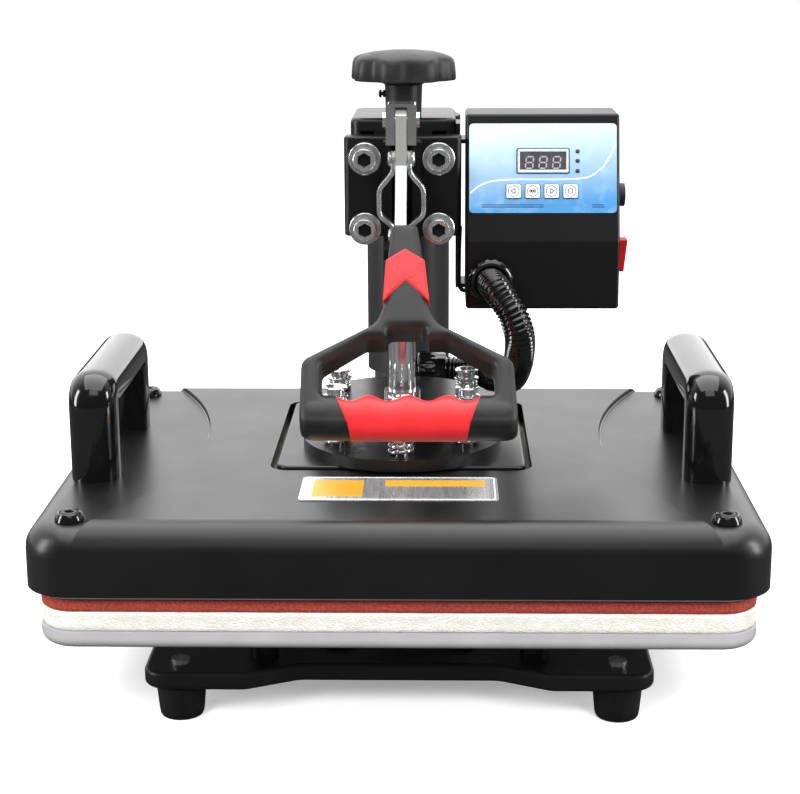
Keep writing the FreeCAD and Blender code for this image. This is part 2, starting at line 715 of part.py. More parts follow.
def yoke():
    thick = ("-yoke_thick / 2", "yoke_thick")
    outside = symmetric([
        (8.4, -7), (10.6, -33), (11.6, -62), (16, -70), (56, -94), ("yoke_half", -99),
        ("yoke_half", "-grip_reach - 8"), ("yoke_half - 4", "-grip_reach - grip_radius"),
    ])
    blank = prism("yoke_blank", "XY_Plane", outside, *thick)
    soften(blank, 3.2, lambda edge: level("Z", "yoke_thick / 2")(edge) or level("Z",
            "-yoke_thick / 2")(edge))
    inside = symmetric([
        (5.5, -71.9), (9, -74), (9.5, -79), (20.7, -79.5), (48.3, -98), (50.6, -102),
        (50.6, "-grip_reach + grip_radius"),
    ])
    window = prism("yoke_window", "XY_Plane", inside, -20, 40)
    slot = box("lever_slot", both("lever_half + 0.05"), (-36, -5), both("6.1"))
    blade = cut("yoke_carved", blank, window, slot, grip_wedge("yoke_wedge", 0.1))
    core = rod("grip_core", 7, 100, -50, "-grip_reach", 0, TO_RIGHT)
    subpart(tilted(fuse("yoke", blade, core)), "handle_yoke")

    sleeve = rod("grip_sleeve", "grip_radius", 90, -45, "-grip_reach", 0, TO_RIGHT)
    bore = rod("grip_bore", 7.05, 100, -50, "-grip_reach", 0, TO_RIGHT)
    valleys = [rod(f"finger_{i}", 9, 40, x, "-grip_reach + grip_radius + 5.6", -20)
               for i, x in enumerate((-32, -10.7, 10.7, 32), start=1)]
    grip = cut("grip_carved", common("grip_blank", sleeve, grip_wedge("grip_limits", 0)), bore,
               *valleys)
    subpart(tilted(grip), "handle_grip")

    chevron = [(0, -25.4), (11.6, -32.5), (13.2, -59), (0, -45.7), (-13.2, -59), (-11.6, -32.5)]
    sleeve = prism("band_blank", "XY_Plane", chevron, "-yoke_thick / 2 - 1", "yoke_thick + 2")
    soften(sleeve, 3.6, lambda edge: edge.BoundBox.ZLength < 1e-4 and min(abs(edge.BoundBox.XMin),
            abs(edge.BoundBox.XMax)) > 10)
    band = cut("band", sleeve, blank)
    subpart(tilted(band), "handle_band")


# ---------------------------------------------------------------- carriage on the head
BRACKET_SCREWS = [(f"{side} * bracket_screw_x", height)
                  for side in (1, -1) for height in ("bracket_screw_low", "bracket_screw_high")]


def brackets():
    flange = rounded_block("bracket_flange", ("bracket_gap", "bracket_half"),
                           ("bracket_front", "head_front - 0.1"),
                           ("bracket_low", "bracket_high"), 4, top=1.5, bottom=1.5)
    side = [(11, "bracket_high - 1"), ("bracket_front + 6", "bracket_high - 1"),
            ("bracket_front + 6", "bracket_low + 2"),
            ("bracket_front", 240), ("bracket_front", 198), (13, 198), (8.6, 204), (8.6, 242),
            (11, 247)]
    web = prism("bracket_web", "YZ_Plane", side, "bracket_gap", 5)
    holes = [rod(f"bracket_hole_{i}", 4.1, 30, "bracket_screw_x", "head_front + 5", height, TO_FRONT)
             for i, height in enumerate(("bracket_screw_low", "bracket_screw_high"), start=1)]
    right = cut("bracket", fuse("bracket_solid", flange, web), *holes)
    subpart(right, "bracket_right")
    subpart(mirror("bracket_twin", right), "bracket_left")
    screws = []
    for i, (x, z) in enumerate(BRACKET_SCREWS, start=1):
        fixing = screw(f"bracket_screw_{i}", (6.8, 8), (4, 34), x, "bracket_front - 1.7", z, TO_FRONT,
                       socket=3.6)
        ring = cut(f"bracket_washer_{i}", rod(f"washer_{i}", 9.5, 1.6, x, "bracket_front", z, TO_FRONT),
                   rod(f"washer_bore_{i}", 4.2, 4, x, "bracket_front + 1", z, TO_FRONT))
        screws += [fixing, ring]
    subpart(group("bracket_screw_set", screws), "bracket_screws")


def clevis():
    side = [(-6, 305.4), (14, 305.4), (14, "bracket_high + 0.1"),
            ("head_front - 1", "bracket_high + 0.1"),
            ("head_front - 1", "bracket_high + 4.6"), (16, "bracket_high + 4.6"), (12, 329), (-6, 329)]
    block = prism("clevis_block", "YZ_Plane", side, -8.8, 17.6)
    soften(block, 2, lambda edge: along("Y")(edge) and level("Z", 329)(edge))
    slot = box("clevis_slot", (-3.6, 3.6), (-10, 14), (300, 327.2))
    bore = rod("clevis_bore", 3.02, 30, -15, 0, "pivot_high", TO_RIGHT)
    subpart(cut("clevis", block, slot, bore), "pivot_clevis")
    pin = rod("pin_shank", 3, 18, -9, 0, "pivot_high", TO_RIGHT)
    heads = [rod(f"pin_head_{i}", 4.8, 1.8, x, 0, "pivot_high", TO_RIGHT) for i,
             x in enumerate((-10.7, 8.9), start=1)]
    subpart(fuse("pin", pin, *heads), "pivot_pin")


def guide():
    tube = rod("barrel_tube", "barrel_radius", "barrel_high - barrel_low", 0, 0, "barrel_low")
    back = box("barrel_back", (-6, 6), (6, "bracket_front - 0.2"), (200, 236))
    bore = rod("barrel_bore", "plunger_radius + 0.06", 60, 0, 0, "barrel_low - 5")
    subpart(cut("barrel", fuse("barrel_solid", tube, back), bore), "guide_barrel")


def head():
    block = rounded_block("head_block", both("head_half"), ("head_front", "head_back"),
                          ("head_low", "head_high"), 7, top=3)
    cavity = rounded_block("head_cavity", both("head_half - head_wall"),
                           ("head_front + head_wall + 0.6", "head_back - head_wall"),
                           ("head_low - 1", "head_high - head_wall - 0.2"), 3)
    slots = [box(f"head_slot_{i}", (f"{x} - 4.2", f"{x} + 4.2"), ("head_front - 1", "head_front + 6"),
                 (f"{z} - 4.2", f"{z} + 4.2 + pressure_travel")) for i,
                 (x, z) in enumerate(BRACKET_SCREWS, start=1)]
    top = rod("head_hole", 6.2, 10, 0, "screw_back", "head_high - 6")
    subpart(cut("head", block, cavity, top, *slots), "head_housing")

    nut = rounded_block("nut_block", both("head_half - head_wall - 0.1"),
                        ("head_front + head_wall + 0.8", "head_back - head_wall - 6"), (248, 303.5), 3)
    bore = rod("nut_thread", 6.06, 80, 0, "screw_back", 240)
    pocket = rod("nut_pocket", 10.2, 10, 0, "screw_back", 298)
    taps = [rod(f"nut_tap_{i}", 4.05, 30, x, "head_front + 30", z, TO_FRONT)
            for i, (x, z) in enumerate(BRACKET_SCREWS, start=1)]
    subpart(cut("carriage", nut, bore, pocket, *taps), "carriage_nut")


def arm():
    beam = box("arm_beam", (-25, 25), ("head_back + 0.05", "column_back"), (238, 304))
    ring = rod("arm_ring", 36, 66, 0, "column_back", 238)
    hole = rod("arm_hole", "sleeve_radius", "sleeve_high - 237", 0, "column_back", 237)
    subpart(cut("arm", fuse("arm_solid", beam, ring), hole), "arm_casting")
    tube = rod("sleeve_tube", "sleeve_radius", "sleeve_high - sleeve_low", 0, "column_back",
               "sleeve_low")
    bore = rod("sleeve_bore", "bush_radius", "post_high + 2.1 - sleeve_low + 5", 0, "column_back",
               "sleeve_low - 5")
    subpart(cut("sleeve", tube, bore), "arm_sleeve")
    bushes = []
    for i, low in enumerate(("sleeve_low + 1", "post_high - 28"), start=1):
        ring = rod(f"bush_ring_{i}", "bush_radius", 22, 0, "column_back", low)
        hole = rod(f"bush_hole_{i}", "post_radius + running_gap", 24, 0, "column_back", f"{low} - 1")
        bushes.append(cut(f"bush_{i}", ring, hole))
    bushes.append(rod("thrust_disc", "post_radius - 0.2", 2, 0, "column_back", "post_high + 0.05"))
    subpart(group("bushes", bushes), "sleeve_bushes")


def knob():
    profile = [(6.06, "head_high + 0.1"), (11, "head_high + 0.1"), (12.5, "knob_low"),
               ("knob_radius", "knob_low"), ("knob_radius", "knob_rim"),
               ("knob_radius - 6", "knob_rim + 2.6"),
               (12, "knob_top"), (0, "knob_top"), (0, 331), (6.06, 331)]
    body = doc.addObject("PartDesign::Body", "knob_body")
    sketch = outline(body, "knob_profile", "XZ_Plane", profile)
    turned = body.newObject("PartDesign::Revolution", "knob_turned")
    turned.Profile = sketch
    turned.ReferenceAxis = (sketch, ["V_Axis"])
    turned.Angle = 360
    doc.recompute()
    lobes = 8
    notches = [rod(f"knob_notch_{i}", 7, 30, f"(knob_radius + 3.6) * cos({360 / lobes * i})",
                   f"(knob_radius + 3.6) * sin({360 / lobes * i})",
                   "knob_low - 2") for i in range(lobes)]
    carved = cut("knob_carved", body, *notches)
    subpart(place(carved, 0, "screw_back", 0), "pressure_knob")
    stem = rod("screw_stem", 6, 77, 0, "screw_back", 253)
    collar = rod("screw_collar", 9, 3, 0, "screw_back", "head_high - head_wall - 3.4")
    subpart(fuse("screw_body", stem, collar), "lead_screw")


# ---------------------------------------------------------------- control box
def on_panel(thing, x, up, out):
    """Put a piece on the sloping panel: up from the crease, and out from its face."""
    slope = number("atan((case_high - case_crease) / (case_top_front - case_front))")
    y = f"case_front + ({up}) * cos({slope}) - ({out}) * sin({slope})"
    z = f"case_crease + ({up}) * sin({slope}) + ({out}) * cos({slope})"
    return place(thing, x, y, z, FreeCAD.Rotation(ABOUT_X, slope))


# Button centres across the panel, and the panel's own heights above the crease
BUTTONS = {"button_down": 66.4, "button_mode": 77.8, "button_up": 89.1, "button_set": 100.4}
BUTTON_UP = 30.3
BUTTON_HALF = 3.7
DISPLAY = (68.5, 99.6, 41.4, 56)
OVERLAY = (39.9, 128.1, 17.3, 71.3)


def panel_block(name, left, right, low, high, inner, outer, corner=1):
    """A thin rounded block that lies on the panel."""
    body = rounded_block(name, (0, right - left), (0, high - low), (0, outer - inner), corner)
    return on_panel(body, left, low, inner)


def case():
    def side(inset):
        return [(f"case_top_front + {inset} * 0.75", f"case_high - {inset}"),
                ("case_split", f"case_high - {inset}"),
                ("case_split", f"case_low + {inset}"), (f"case_front + {inset}", f"case_low + {inset}"),
                (f"case_front + {inset}", "case_crease")]

    outer = prism("case_outer", "YZ_Plane", side(0), "case_left", "case_right - case_left")
    back = number("case_split")
    soften(outer, 2, lambda edge: edge.BoundBox.YMax < back - 0.01 or not level("Y", back)(edge))
    inner = prism("case_inner", "YZ_Plane", side("case_wall"), "case_left + case_wall",
                  "case_right - case_left - 2 * case_wall")
    keyways = [panel_block(f"{name}_hole", x - 4.1, x + 4.1, BUTTON_UP - 4.1, BUTTON_UP + 4.1, -6, 4)
               for name, x in BUTTONS.items()]
    gland = rod("gland_hole", 11.05, 12, 53, "case_front + 6", 222, TO_FRONT)
    fuse_hole = rod("fuse_hole", 6, 12, "case_right - 6", 50, 269, TO_RIGHT)
    switch = box("switch_hole", ("case_right - 6", "case_right + 6"), (38.4, 51.6), (222.2, 243.8))
    subpart(cut("case_shell", outer, inner, *keyways, gland, fuse_hole, switch), "case_front")

    lid = rounded_block("lid_block", (0, "case_right - case_left"), (0, "case_high - case_low"),
                        (0, "case_back - case_split - 0.1"), 2, top=2)
    hollow = rounded_block("lid_hollow", ("case_wall", "case_right - case_left - case_wall"),
                           ("case_wall", "case_high - case_low - case_wall"),
                           (-1, "case_back - case_split - 0.1 - case_wall"), 1)
    socket = box("lid_socket", (31, 61), (8, 30), (0, 20))
    lid_cut = cut("lid", lid, hollow, socket)
    place(lid_cut, "case_right", "case_split + 0.1", "case_low",
          FreeCAD.Rotation(ABOUT_Z, 180) * TO_FRONT)
    subpart(lid_cut, "case_back")

    inlet = box("inlet_block", ("case_right - 60.8", "case_right - 31.2"),
                ("case_back - 9", "case_back + 1.4"),
                ("case_low + 8.2", "case_low + 29.8"))
    throat = box("inlet_throat", ("case_right - 57", "case_right - 35"),
                 ("case_back - 6", "case_back + 3"),
                 ("case_low + 12", "case_low + 26"))
    subpart(cut("mains_inlet", inlet, throat), "power_inlet")

    board = box("board", (44, 124), (60, 61.6), (212, 310))
    parts = [box("transformer", (50, 78), (45, 60), (240, 268)),
             box("relay", (90, 110), (48, 60), (236, 254)),
             box("terminals", (52, 100), (50, 60), (216, 226))]
    subpart(fuse("electronics", board, *parts), "control_board")


def panel():
    left, right, low, high = OVERLAY
    sheet_body = panel_block("overlay_blank", left, right, low, high, 0.02, 0.6, corner=2.5)
    left, right, low, high = DISPLAY
    opening = panel_block("display_opening", left - 0.1, right + 0.1, low - 0.1, high + 0.1, -1, 2)
    holes = [panel_block(f"{name}_gap", x - 3.9, x + 3.9, BUTTON_UP - 3.9, BUTTON_UP + 3.9, -1, 2)
             for name, x in BUTTONS.items()]
    subpart(cut("overlay", sheet_body, opening, *holes), "panel_overlay")
    subpart(panel_block("window", left, right, low, high, 0.02, 1.2), "display_window")
    for name, x in BUTTONS.items():
        key = panel_block(f"{name}_key", x - BUTTON_HALF, x + BUTTON_HALF, BUTTON_UP - BUTTON_HALF,
                          BUTTON_UP + BUTTON_HALF, -4, 1.6)
        subpart(key, name)


def case_side():
    bezel = box("bezel", ("case_right + 0.02", "case_right + 1.4"), (36.6, 53.4), (220, 246))
    gap = box("bezel_gap", ("case_right - 1", "case_right + 3"), (38.6, 51.4), (221.8, 244.2))
    subpart(cut("switch_ring", bezel, gap), "switch_frame")
    # The rocker turns on two stub axles behind the case wall
    points = [(-1.5, -9.6), (8.4, -9.6), (10.4, 9.6), (-1.5, 9.6)]
    key = prism("rocker_key", "XZ_Plane", points, -6.2, 12.4)
    axle = rod("rocker_axle", 1.2, 15, 0, 7.5, 0, TO_FRONT)
    subpart(place(fuse("rocker", key, axle), "case_right - 4", 45, 233), "switch_rocker")
    cap = fuse("fuse_solid", rod("fuse_neck", 5.9, 9, "case_right - 4", 50, 269, TO_RIGHT),
               rod("fuse_head", 7, 4.6, "case_right + 0.1", 50, 269, TO_RIGHT))
    subpart(cap, "fuse_cap")


def bracket_and_glands():
    plate = box("side_plate", ("head_half + 0.05", "head_half + 2.6"), (52, 78), (211, 312))
    feet = [box(f"side_foot_{i}", ("head_half + 2.5", "case_left - 0.05"), (52, 78), (z, z + 2.5))
            for i, z in enumerate((211, 300), start=1)]
    subpart(fuse("side_bracket", plate, *feet), "control_bracket")
    nut = rod("gland_nut", 13.5, 9.9, 53, "case_front - 0.05", 222, TO_FRONT)
    neck = rod("gland_neck", 11, 16, 53, "case_front + 5.9", 222, TO_FRONT)
    bore = rod("gland_bore", "conduit_radius + 0.9", 30, 53, "case_front + 15", 222, TO_FRONT)
    subpart(cut("gland", fuse("gland_solid", nut, neck), bore), "upper_gland")


def conduit():
    """The corrugated cable guard, which hangs in a loop from the control box to the platen."""
    points = [(53, 21, 222), (53, 9, 222), (57, -3, 219), (64.5, -10.5, 208.5), (69.5, -9, 194),
              (70, 6, 178),
              (69, 28, 164), (66, 50, 153.5), (56, 70, 149.5), (40, 80.5, 150.5), (26, 82, 151),
              (15, 82, 151)]
    spline = Part.BSplineCurve()
    spline.interpolate([FreeCAD.Vector(*point) for point in points])
    spine = Part.Wire(spline.toShape())
    ring = Part.Wire(Part.makeCircle(number("conduit_radius"), FreeCAD.Vector(*points[0]),
                                     spline.tangent(0)[0]))
    hose = doc.addObject("Part::Feature", "hose")
    hose.Shape = spine.makePipeShell([ring], True, False)
    subpart(hose, "cable_conduit")


# ---------------------------------------------------------------- build, check and write
def build():
    for step in (base_frame, base_feet, column, tray, heater, platen_cover, side_handles, recess,
                 cable_inlet,
                 flanges, plunger, links, lever, yoke, brackets, clevis, guide, head, arm, knob, case,
                 panel,
                 case_side, bracket_and_glands, conduit):
        step()
    doc.recompute()


def check_and_write():
    """Stop on any failed object or broken shape, then write one file for each piece."""
    failed = [thing.Name for thing in doc.Objects if {"Invalid", "Error"} & set(thing.State)]
    broken = [node for node, thing in SUBPARTS.items() if thing.Shape.isNull() or not thing.Shape.isValid()]
    if failed or broken:
        raise SystemExit(f"failed objects: {failed}; broken pieces: {broken}")
    os.makedirs("parts", exist_ok=True)
    for node, thing in SUBPARTS.items():
        thing.Shape.exportStep(f"parts/{node}.step")
        print(node, len(thing.Shape.Solids), round(thing.Shape.Volume / 1000, 2))


build()
check_and_write()
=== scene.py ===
"""Looks of a swing-away heat press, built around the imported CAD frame.

Metres, +Z up, +X to the right, the operator on the -Y side. Places come from the frame: the boxes of
the CAD nodes and the axes of its joints. Sizes given here are in millimetres and are scaled by MM.
"""
import json
import math

import bmesh
import bpy
from mathutils import Matrix, Vector, noise

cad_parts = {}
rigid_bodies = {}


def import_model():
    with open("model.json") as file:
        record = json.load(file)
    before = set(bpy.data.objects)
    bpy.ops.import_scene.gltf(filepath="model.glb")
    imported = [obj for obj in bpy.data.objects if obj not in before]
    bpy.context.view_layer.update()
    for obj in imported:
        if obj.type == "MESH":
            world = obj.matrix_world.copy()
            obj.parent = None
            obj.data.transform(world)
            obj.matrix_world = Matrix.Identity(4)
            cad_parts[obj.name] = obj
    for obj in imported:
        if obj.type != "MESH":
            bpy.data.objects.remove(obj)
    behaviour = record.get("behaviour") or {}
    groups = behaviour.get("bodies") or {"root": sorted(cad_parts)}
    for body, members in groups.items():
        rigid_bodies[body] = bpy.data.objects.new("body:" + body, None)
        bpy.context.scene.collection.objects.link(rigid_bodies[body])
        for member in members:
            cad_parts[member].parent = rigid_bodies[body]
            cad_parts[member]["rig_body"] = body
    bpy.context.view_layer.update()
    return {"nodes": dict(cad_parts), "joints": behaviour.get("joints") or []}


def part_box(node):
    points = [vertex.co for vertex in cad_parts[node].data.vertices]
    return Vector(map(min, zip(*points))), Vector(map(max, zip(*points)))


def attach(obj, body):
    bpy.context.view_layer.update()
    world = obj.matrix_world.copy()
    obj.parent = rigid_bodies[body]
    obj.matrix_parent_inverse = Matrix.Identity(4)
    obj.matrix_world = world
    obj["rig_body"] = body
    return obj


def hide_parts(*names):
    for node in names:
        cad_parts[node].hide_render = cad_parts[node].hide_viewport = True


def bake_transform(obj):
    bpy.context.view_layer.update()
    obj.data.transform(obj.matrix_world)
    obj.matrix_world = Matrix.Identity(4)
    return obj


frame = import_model()
NODES = frame["nodes"]
MM = 0.001


def middle(node):
    """The centre of a CAD node's box."""
    low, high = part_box(node)
    return (low + high) / 2


PRESS_Y = middle("plunger_shaft").y


# ---------------------------------------------------------------- outlines
def circle(radius, steps, phase=0.0):
    """A ring of points in a plane."""
    angles = [phase + 2 * math.pi * i / steps for i in range(steps)]
    return [Vector((radius * math.cos(a), radius * math.sin(a))) for a in angles]


def rounded(corners, steps=6):
    """A closed polygon with round corners. Each corner is x, y and its radius."""
    outline = []
    for i, (x, y, radius) in enumerate(corners):
        here = Vector((x, y))
        back = (Vector(corners[i - 1][:2]) - here).normalized()
        ahead = (Vector(corners[(i + 1) % len(corners)][:2]) - here).normalized()
        half = back.angle(ahead) / 2
        centre = here + (back + ahead).normalized() * radius / math.sin(half)
        reach = radius / math.tan(half)
        first = here + back * reach - centre
        last = here + ahead * reach - centre
        start = math.atan2(first.y, first.x)
        sweep = (math.atan2(last.y, last.x) - start + math.pi) % (2 * math.pi) - math.pi
        for k in range(steps + 1):
            angle = start + sweep * k / steps
            outline.append(centre + radius * Vector((math.cos(angle), math.sin(angle))))
    return outline


def rounded_rectangle(half_x, half_y, corner, along, steps=8):
    """A rectangle round its own centre with round corners, each side split into equal lengths."""
    outline = []
    arcs = []
    for i, (sx, sy) in enumerate([(1, -1), (1, 1), (-1, 1), (-1, -1)]):
        centre = Vector((sx * (half_x - corner), sy * (half_y - corner)))
        start = -math.pi / 2 + i * math.pi / 2
        angles = [start + math.pi / 2 * k / steps for k in range(steps + 1)]
        arcs.append([centre + corner * Vector((math.cos(a), math.sin(a))) for a in angles])
    for i, arc in enumerate(arcs):
        outline += arc
        following = arcs[(i + 1) % 4][0]
        outline += [arc[-1].lerp(following, k / along) for k in range(1, along)]
    return outline


def spline(points, steps):
    """A smooth curve through the points, with a number of steps between each pair."""
    points = [Vector(p) for p in points]
    padded = [2 * points[0] - points[1]] + points + [2 * points[-1] - points[-2]]
    curve = []
    for a, b, c, d in zip(padded, padded[1:], padded[2:], padded[3:]):
        for k in range(steps):
            u = k / steps
            curve.append(0.5 * (2 * b + (c - a) * u + (2 * a - 5 * b + 4 * c - d) * u * u
                                + (3 * b - a - 3 * c + d) * u ** 3))
    return curve + [points[-1]]


# ---------------------------------------------------------------- meshes
def loft(rings, caps=True, loop=False):
    """A skin over rings that have the same number of points, with its open ends filled."""
    count = len(rings[0])
    points = [Vector(p) for ring in rings for p in ring]
    faces = []
    pairs = len(rings) if loop else len(rings) - 1
    for r in range(pairs):
        low, high = r * count, (r + 1) % len(rings) * count
        for i in range(count):
            j = (i + 1) % count
            faces.append((low + i, low + j, high + j, high + i))
    if caps and not loop:
        faces.append(tuple(range(count))[::-1])
        faces.append(tuple(range(len(points) - count, len(points))))
    return points, faces


def towards(axis):
    """The turn that points a piece drawn along Z along another axis."""
    return Vector((0, 0, 1)).rotation_difference(Vector(axis)).to_matrix()


def turned(profile, steps=48, centre=(0, 0, 0), axis=(0, 0, 1)):
    """A lathe piece. Its profile is radius and height along the axis, in millimetres."""
    turn = towards(axis)
    rings = []
    for radius, height in profile:
        flat_ring = circle(max(radius * MM, 1e-5), steps)
        rings.append([Vector(centre) + turn @ Vector((*p, height * MM)) for p in flat_ring])
    return loft(rings)


def swept(centre, turn, steps, height, size_at):
    """One ring round an axis. size_at gives its radius in millimetres at a step and its angle."""
    ring = []
    for k in range(steps):
        angle = 2 * math.pi * k / steps
        size = size_at(k, angle)
        spot = Vector((size * math.cos(angle), size * math.sin(angle), height)) * MM
        ring.append(Vector(centre) + turn @ spot)
    return ring


def tube(path, section, scale=None):
    """A flat section carried along a path. scale gives the section's size at each point of the path."""
    rings = []
    side = None
    for i, here in enumerate(path):
        ahead = (path[min(i + 1, len(path) - 1)] - path[max(i - 1, 0)]).normalized()
        if side is None:
            side = ahead.orthogonal().normalized()
        side = (side - ahead * side.dot(ahead)).normalized()
        across = ahead.cross(side)
        size = scale[i] if scale else 1.0
        rings.append([here + (side * p[0] + across * p[1]) * size for p in section])
    return rings


def moved(part, change):
    """A part after a function has moved each of its points."""
    points, faces = part
    return [change(p) for p in points], faces


def added(name, data):
    """A new object in the scene for a mesh, a curve, a lamp or a camera."""
    made = bpy.data.objects.new(name, data)
    bpy.context.scene.collection.objects.link(made)
    return made


def applied(holder):
    """The mesh of an object with its modifiers applied. The object itself goes."""
    mesh = bpy.data.meshes.new_from_object(holder.evaluated_get(bpy.context.evaluated_depsgraph_get()))
    bpy.data.objects.remove(holder)
    return mesh


def joined(name, parts):
    """One mesh of several parts, each given as its points and its faces."""
    points, faces = [], []
    for part_points, part_faces in parts:
        faces += [tuple(i + len(points) for i in face) for face in part_faces]
        points += [tuple(p) for p in part_points]
    mesh = bpy.data.meshes.new(name)
    mesh.from_pydata(points, [], faces)
    return mesh


def piece(name, parts, body, finish, replaces=(), sharp=40):
    """One named object made of one or more parts, riding on a CAD body."""
    mesh = joined(name, parts)
    mesh.validate()
    return mesh_piece(name, mesh, body, finish, replaces, sharp)


def mesh_piece(name, mesh, body, finish, replaces=(), sharp=40):
    """An object for a finished mesh. Edges sharper than an angle in degrees stay crisp."""
    mesh.shade_smooth()
    mesh.set_sharp_from_angle(angle=math.radians(sharp))
    made = added(name, mesh)
    mesh.materials.clear()
    mesh.materials.append(MATERIALS[finish])
    if body:
        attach(made, body)
    if replaces:
        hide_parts(*replaces)
    return made


def plate(loops, thick, bevel, steps=3):
    """A flat plate with holes and round edges, centred on its own plane. Loops are in millimetres."""
    curve = bpy.data.curves.new("plate", "CURVE")
    curve.dimensions = "2D"
    curve.fill_mode = "BOTH"
    curve.extrude = (thick / 2 - bevel) * MM
    curve.bevel_depth = bevel * MM
    curve.bevel_resolution = steps
    curve.offset = -bevel * MM
    for loop in loops:
        line = curve.splines.new("POLY")
        line.points.add(len(loop) - 1)
        line.use_cyclic_u = True
        for point, place in zip(line.points, loop):
            point.co = (place[0] * MM, place[1] * MM, 0, 1)
    return weld(applied(added("plate", curve)))


def weld(mesh):
    """Join points that lie on each other, and face every side outwards."""
    work = bmesh.new()
    work.from_mesh(mesh)
    bmesh.ops.remove_doubles(work, verts=work.verts, dist=2e-6)
    bmesh.ops.recalc_face_normals(work, faces=work.faces)
    work.to_mesh(mesh)
    work.free()
    return mesh


def parts_of(mesh, change=None):
    """A mesh as points and faces, each point moved by a matrix."""
    change = change or Matrix.Identity(4)
    return [change @ v.co for v in mesh.vertices], [tuple(p.vertices) for p in mesh.polygons]


def melted(name, parts, voxel, relax):
    """Parts grown together into one moulded skin, with soft inner corners."""
    holder = added(name, joined(name, parts))
    remesh = holder.modifiers.new("remesh", "REMESH")
    remesh.mode = "VOXEL"
    remesh.voxel_size = voxel * MM
    smooth = holder.modifiers.new("smooth", "SMOOTH")
    smooth.factor = 0.5
    smooth.iterations = relax
    return applied(holder)


# ---------------------------------------------------------------- materials
class Finish:
    """A material made of nodes, patterned by each object's own coordinates."""

    def __init__(self, name, colour, rough, metallic=0.0, specular=0.5, coat=0.0, coat_rough=0.05):
        self.material = bpy.data.materials.new(name)
        self.material.use_nodes = True
        self.tree = self.material.node_tree
        self.shader = self.tree.nodes["Principled BSDF"]
        self.shader.inputs["Base Color"].default_value = (*colour, 1)
        self.shader.inputs["Roughness"].default_value = rough
        self.shader.inputs["Metallic"].default_value = metallic
        self.shader.inputs["Specular IOR Level"].default_value = specular
        self.shader.inputs["Coat Weight"].default_value = coat
        self.shader.inputs["Coat Roughness"].default_value = coat_rough
        self.colour = self.constant(colour)
        self.rough = rough
        self.place = self.node("ShaderNodeTexCoord").outputs["Object"]
        self.normal = None

    def node(self, kind, **settings):
        made = self.tree.nodes.new(kind)
        for key, value in settings.items():
            setattr(made, key, value)
        return made

    def link(self, source, target):
        self.tree.links.new(source, target)

    def constant(self, colour):
        made = self.node("ShaderNodeRGB")
        made.outputs[0].default_value = (*colour, 1)
        return made.outputs[0]

    def noise(self, size, detail=3.0, stretch=(1, 1, 1)):
        """Cloudy noise whose features have a size in millimetres."""
        scale = self.node("ShaderNodeMapping")
        scale.inputs["Scale"].default_value = stretch
        self.link(self.place, scale.inputs["Vector"])
        made = self.node("ShaderNodeTexNoise")
        made.inputs["Scale"].default_value = 1 / (size * MM)
        made.inputs["Detail"].default_value = detail
        self.link(scale.outputs[0], made.inputs["Vector"])
        return made.outputs["Fac"]

    def spots(self, size):
        """Distance from scattered points that lie about a size in millimetres apart."""
        made = self.node("ShaderNodeTexVoronoi")
        made.inputs["Scale"].default_value = 1 / (size * MM)
        self.link(self.place, made.inputs["Vector"])
        return made.outputs["Distance"]

    def ramp(self, source, low, high, start=0.0, end=1.0):
        """A source value rescaled from low..high to start..end, and held there."""
        made = self.node("ShaderNodeMapRange")
        for key, value in zip(("From Min", "From Max", "To Min", "To Max"), (low, high, start, end)):
            made.inputs[key].default_value = value
        self.link(source, made.inputs["Value"])
        return made.outputs[0]

    def tint(self, share, colour):
        """Mix the colour so far towards another by a share."""
        made = self.node("ShaderNodeMixRGB")
        self.link(share, made.inputs["Fac"])
        self.link(self.colour, made.inputs["Color1"])
        made.inputs["Color2"].default_value = (*colour, 1)
        self.colour = made.outputs["Color"]
        self.link(self.colour, self.shader.inputs["Base Color"])
        return self

    def blotch(self, size, colour, low=0.4, high=0.65):
        """Slow colour changes."""
        return self.tint(self.ramp(self.noise(size), low, high), colour)

    def uneven(self, size, amount, stretch=(1, 1, 1)):
        """Roughness that changes over the surface."""
        low, high = self.rough - amount, self.rough + amount
        value = self.ramp(self.noise(size, 4, stretch), 0.3, 0.7, low, high)
        self.link(value, self.shader.inputs["Roughness"])
        return self

    def bump(self, height_source, height, strength=1.0):
        """Relief of a height in millimetres."""
        made = self.node("ShaderNodeBump")
        made.inputs["Strength"].default_value = strength
        made.inputs["Distance"].default_value = height * MM
        self.link(height_source, made.inputs["Height"])
        if self.normal:
            self.link(self.normal, made.inputs["Normal"])
        self.normal = made.outputs[0]
        self.link(self.normal, self.shader.inputs["Normal"])
        return self

    def grain(self, size, height, detail=2.0, stretch=(1, 1, 1)):
        """Fine relief, such as a moulded or sprayed grain."""
        return self.bump(self.noise(size, detail, stretch), height)

    def wear(self, colour, start=0.53, end=0.6):
        """Lighter, rubbed edges."""
        edge = self.node("ShaderNodeNewGeometry").outputs["Pointiness"]
        share = self.ramp(edge, start, end)
        broken = self.node("ShaderNodeMath", operation="MULTIPLY")
        self.link(share, broken.inputs[0])
        self.link(self.ramp(self.noise(2.5, 4), 0.42, 0.6), broken.inputs[1])
        return self.tint(broken.outputs[0], colour)


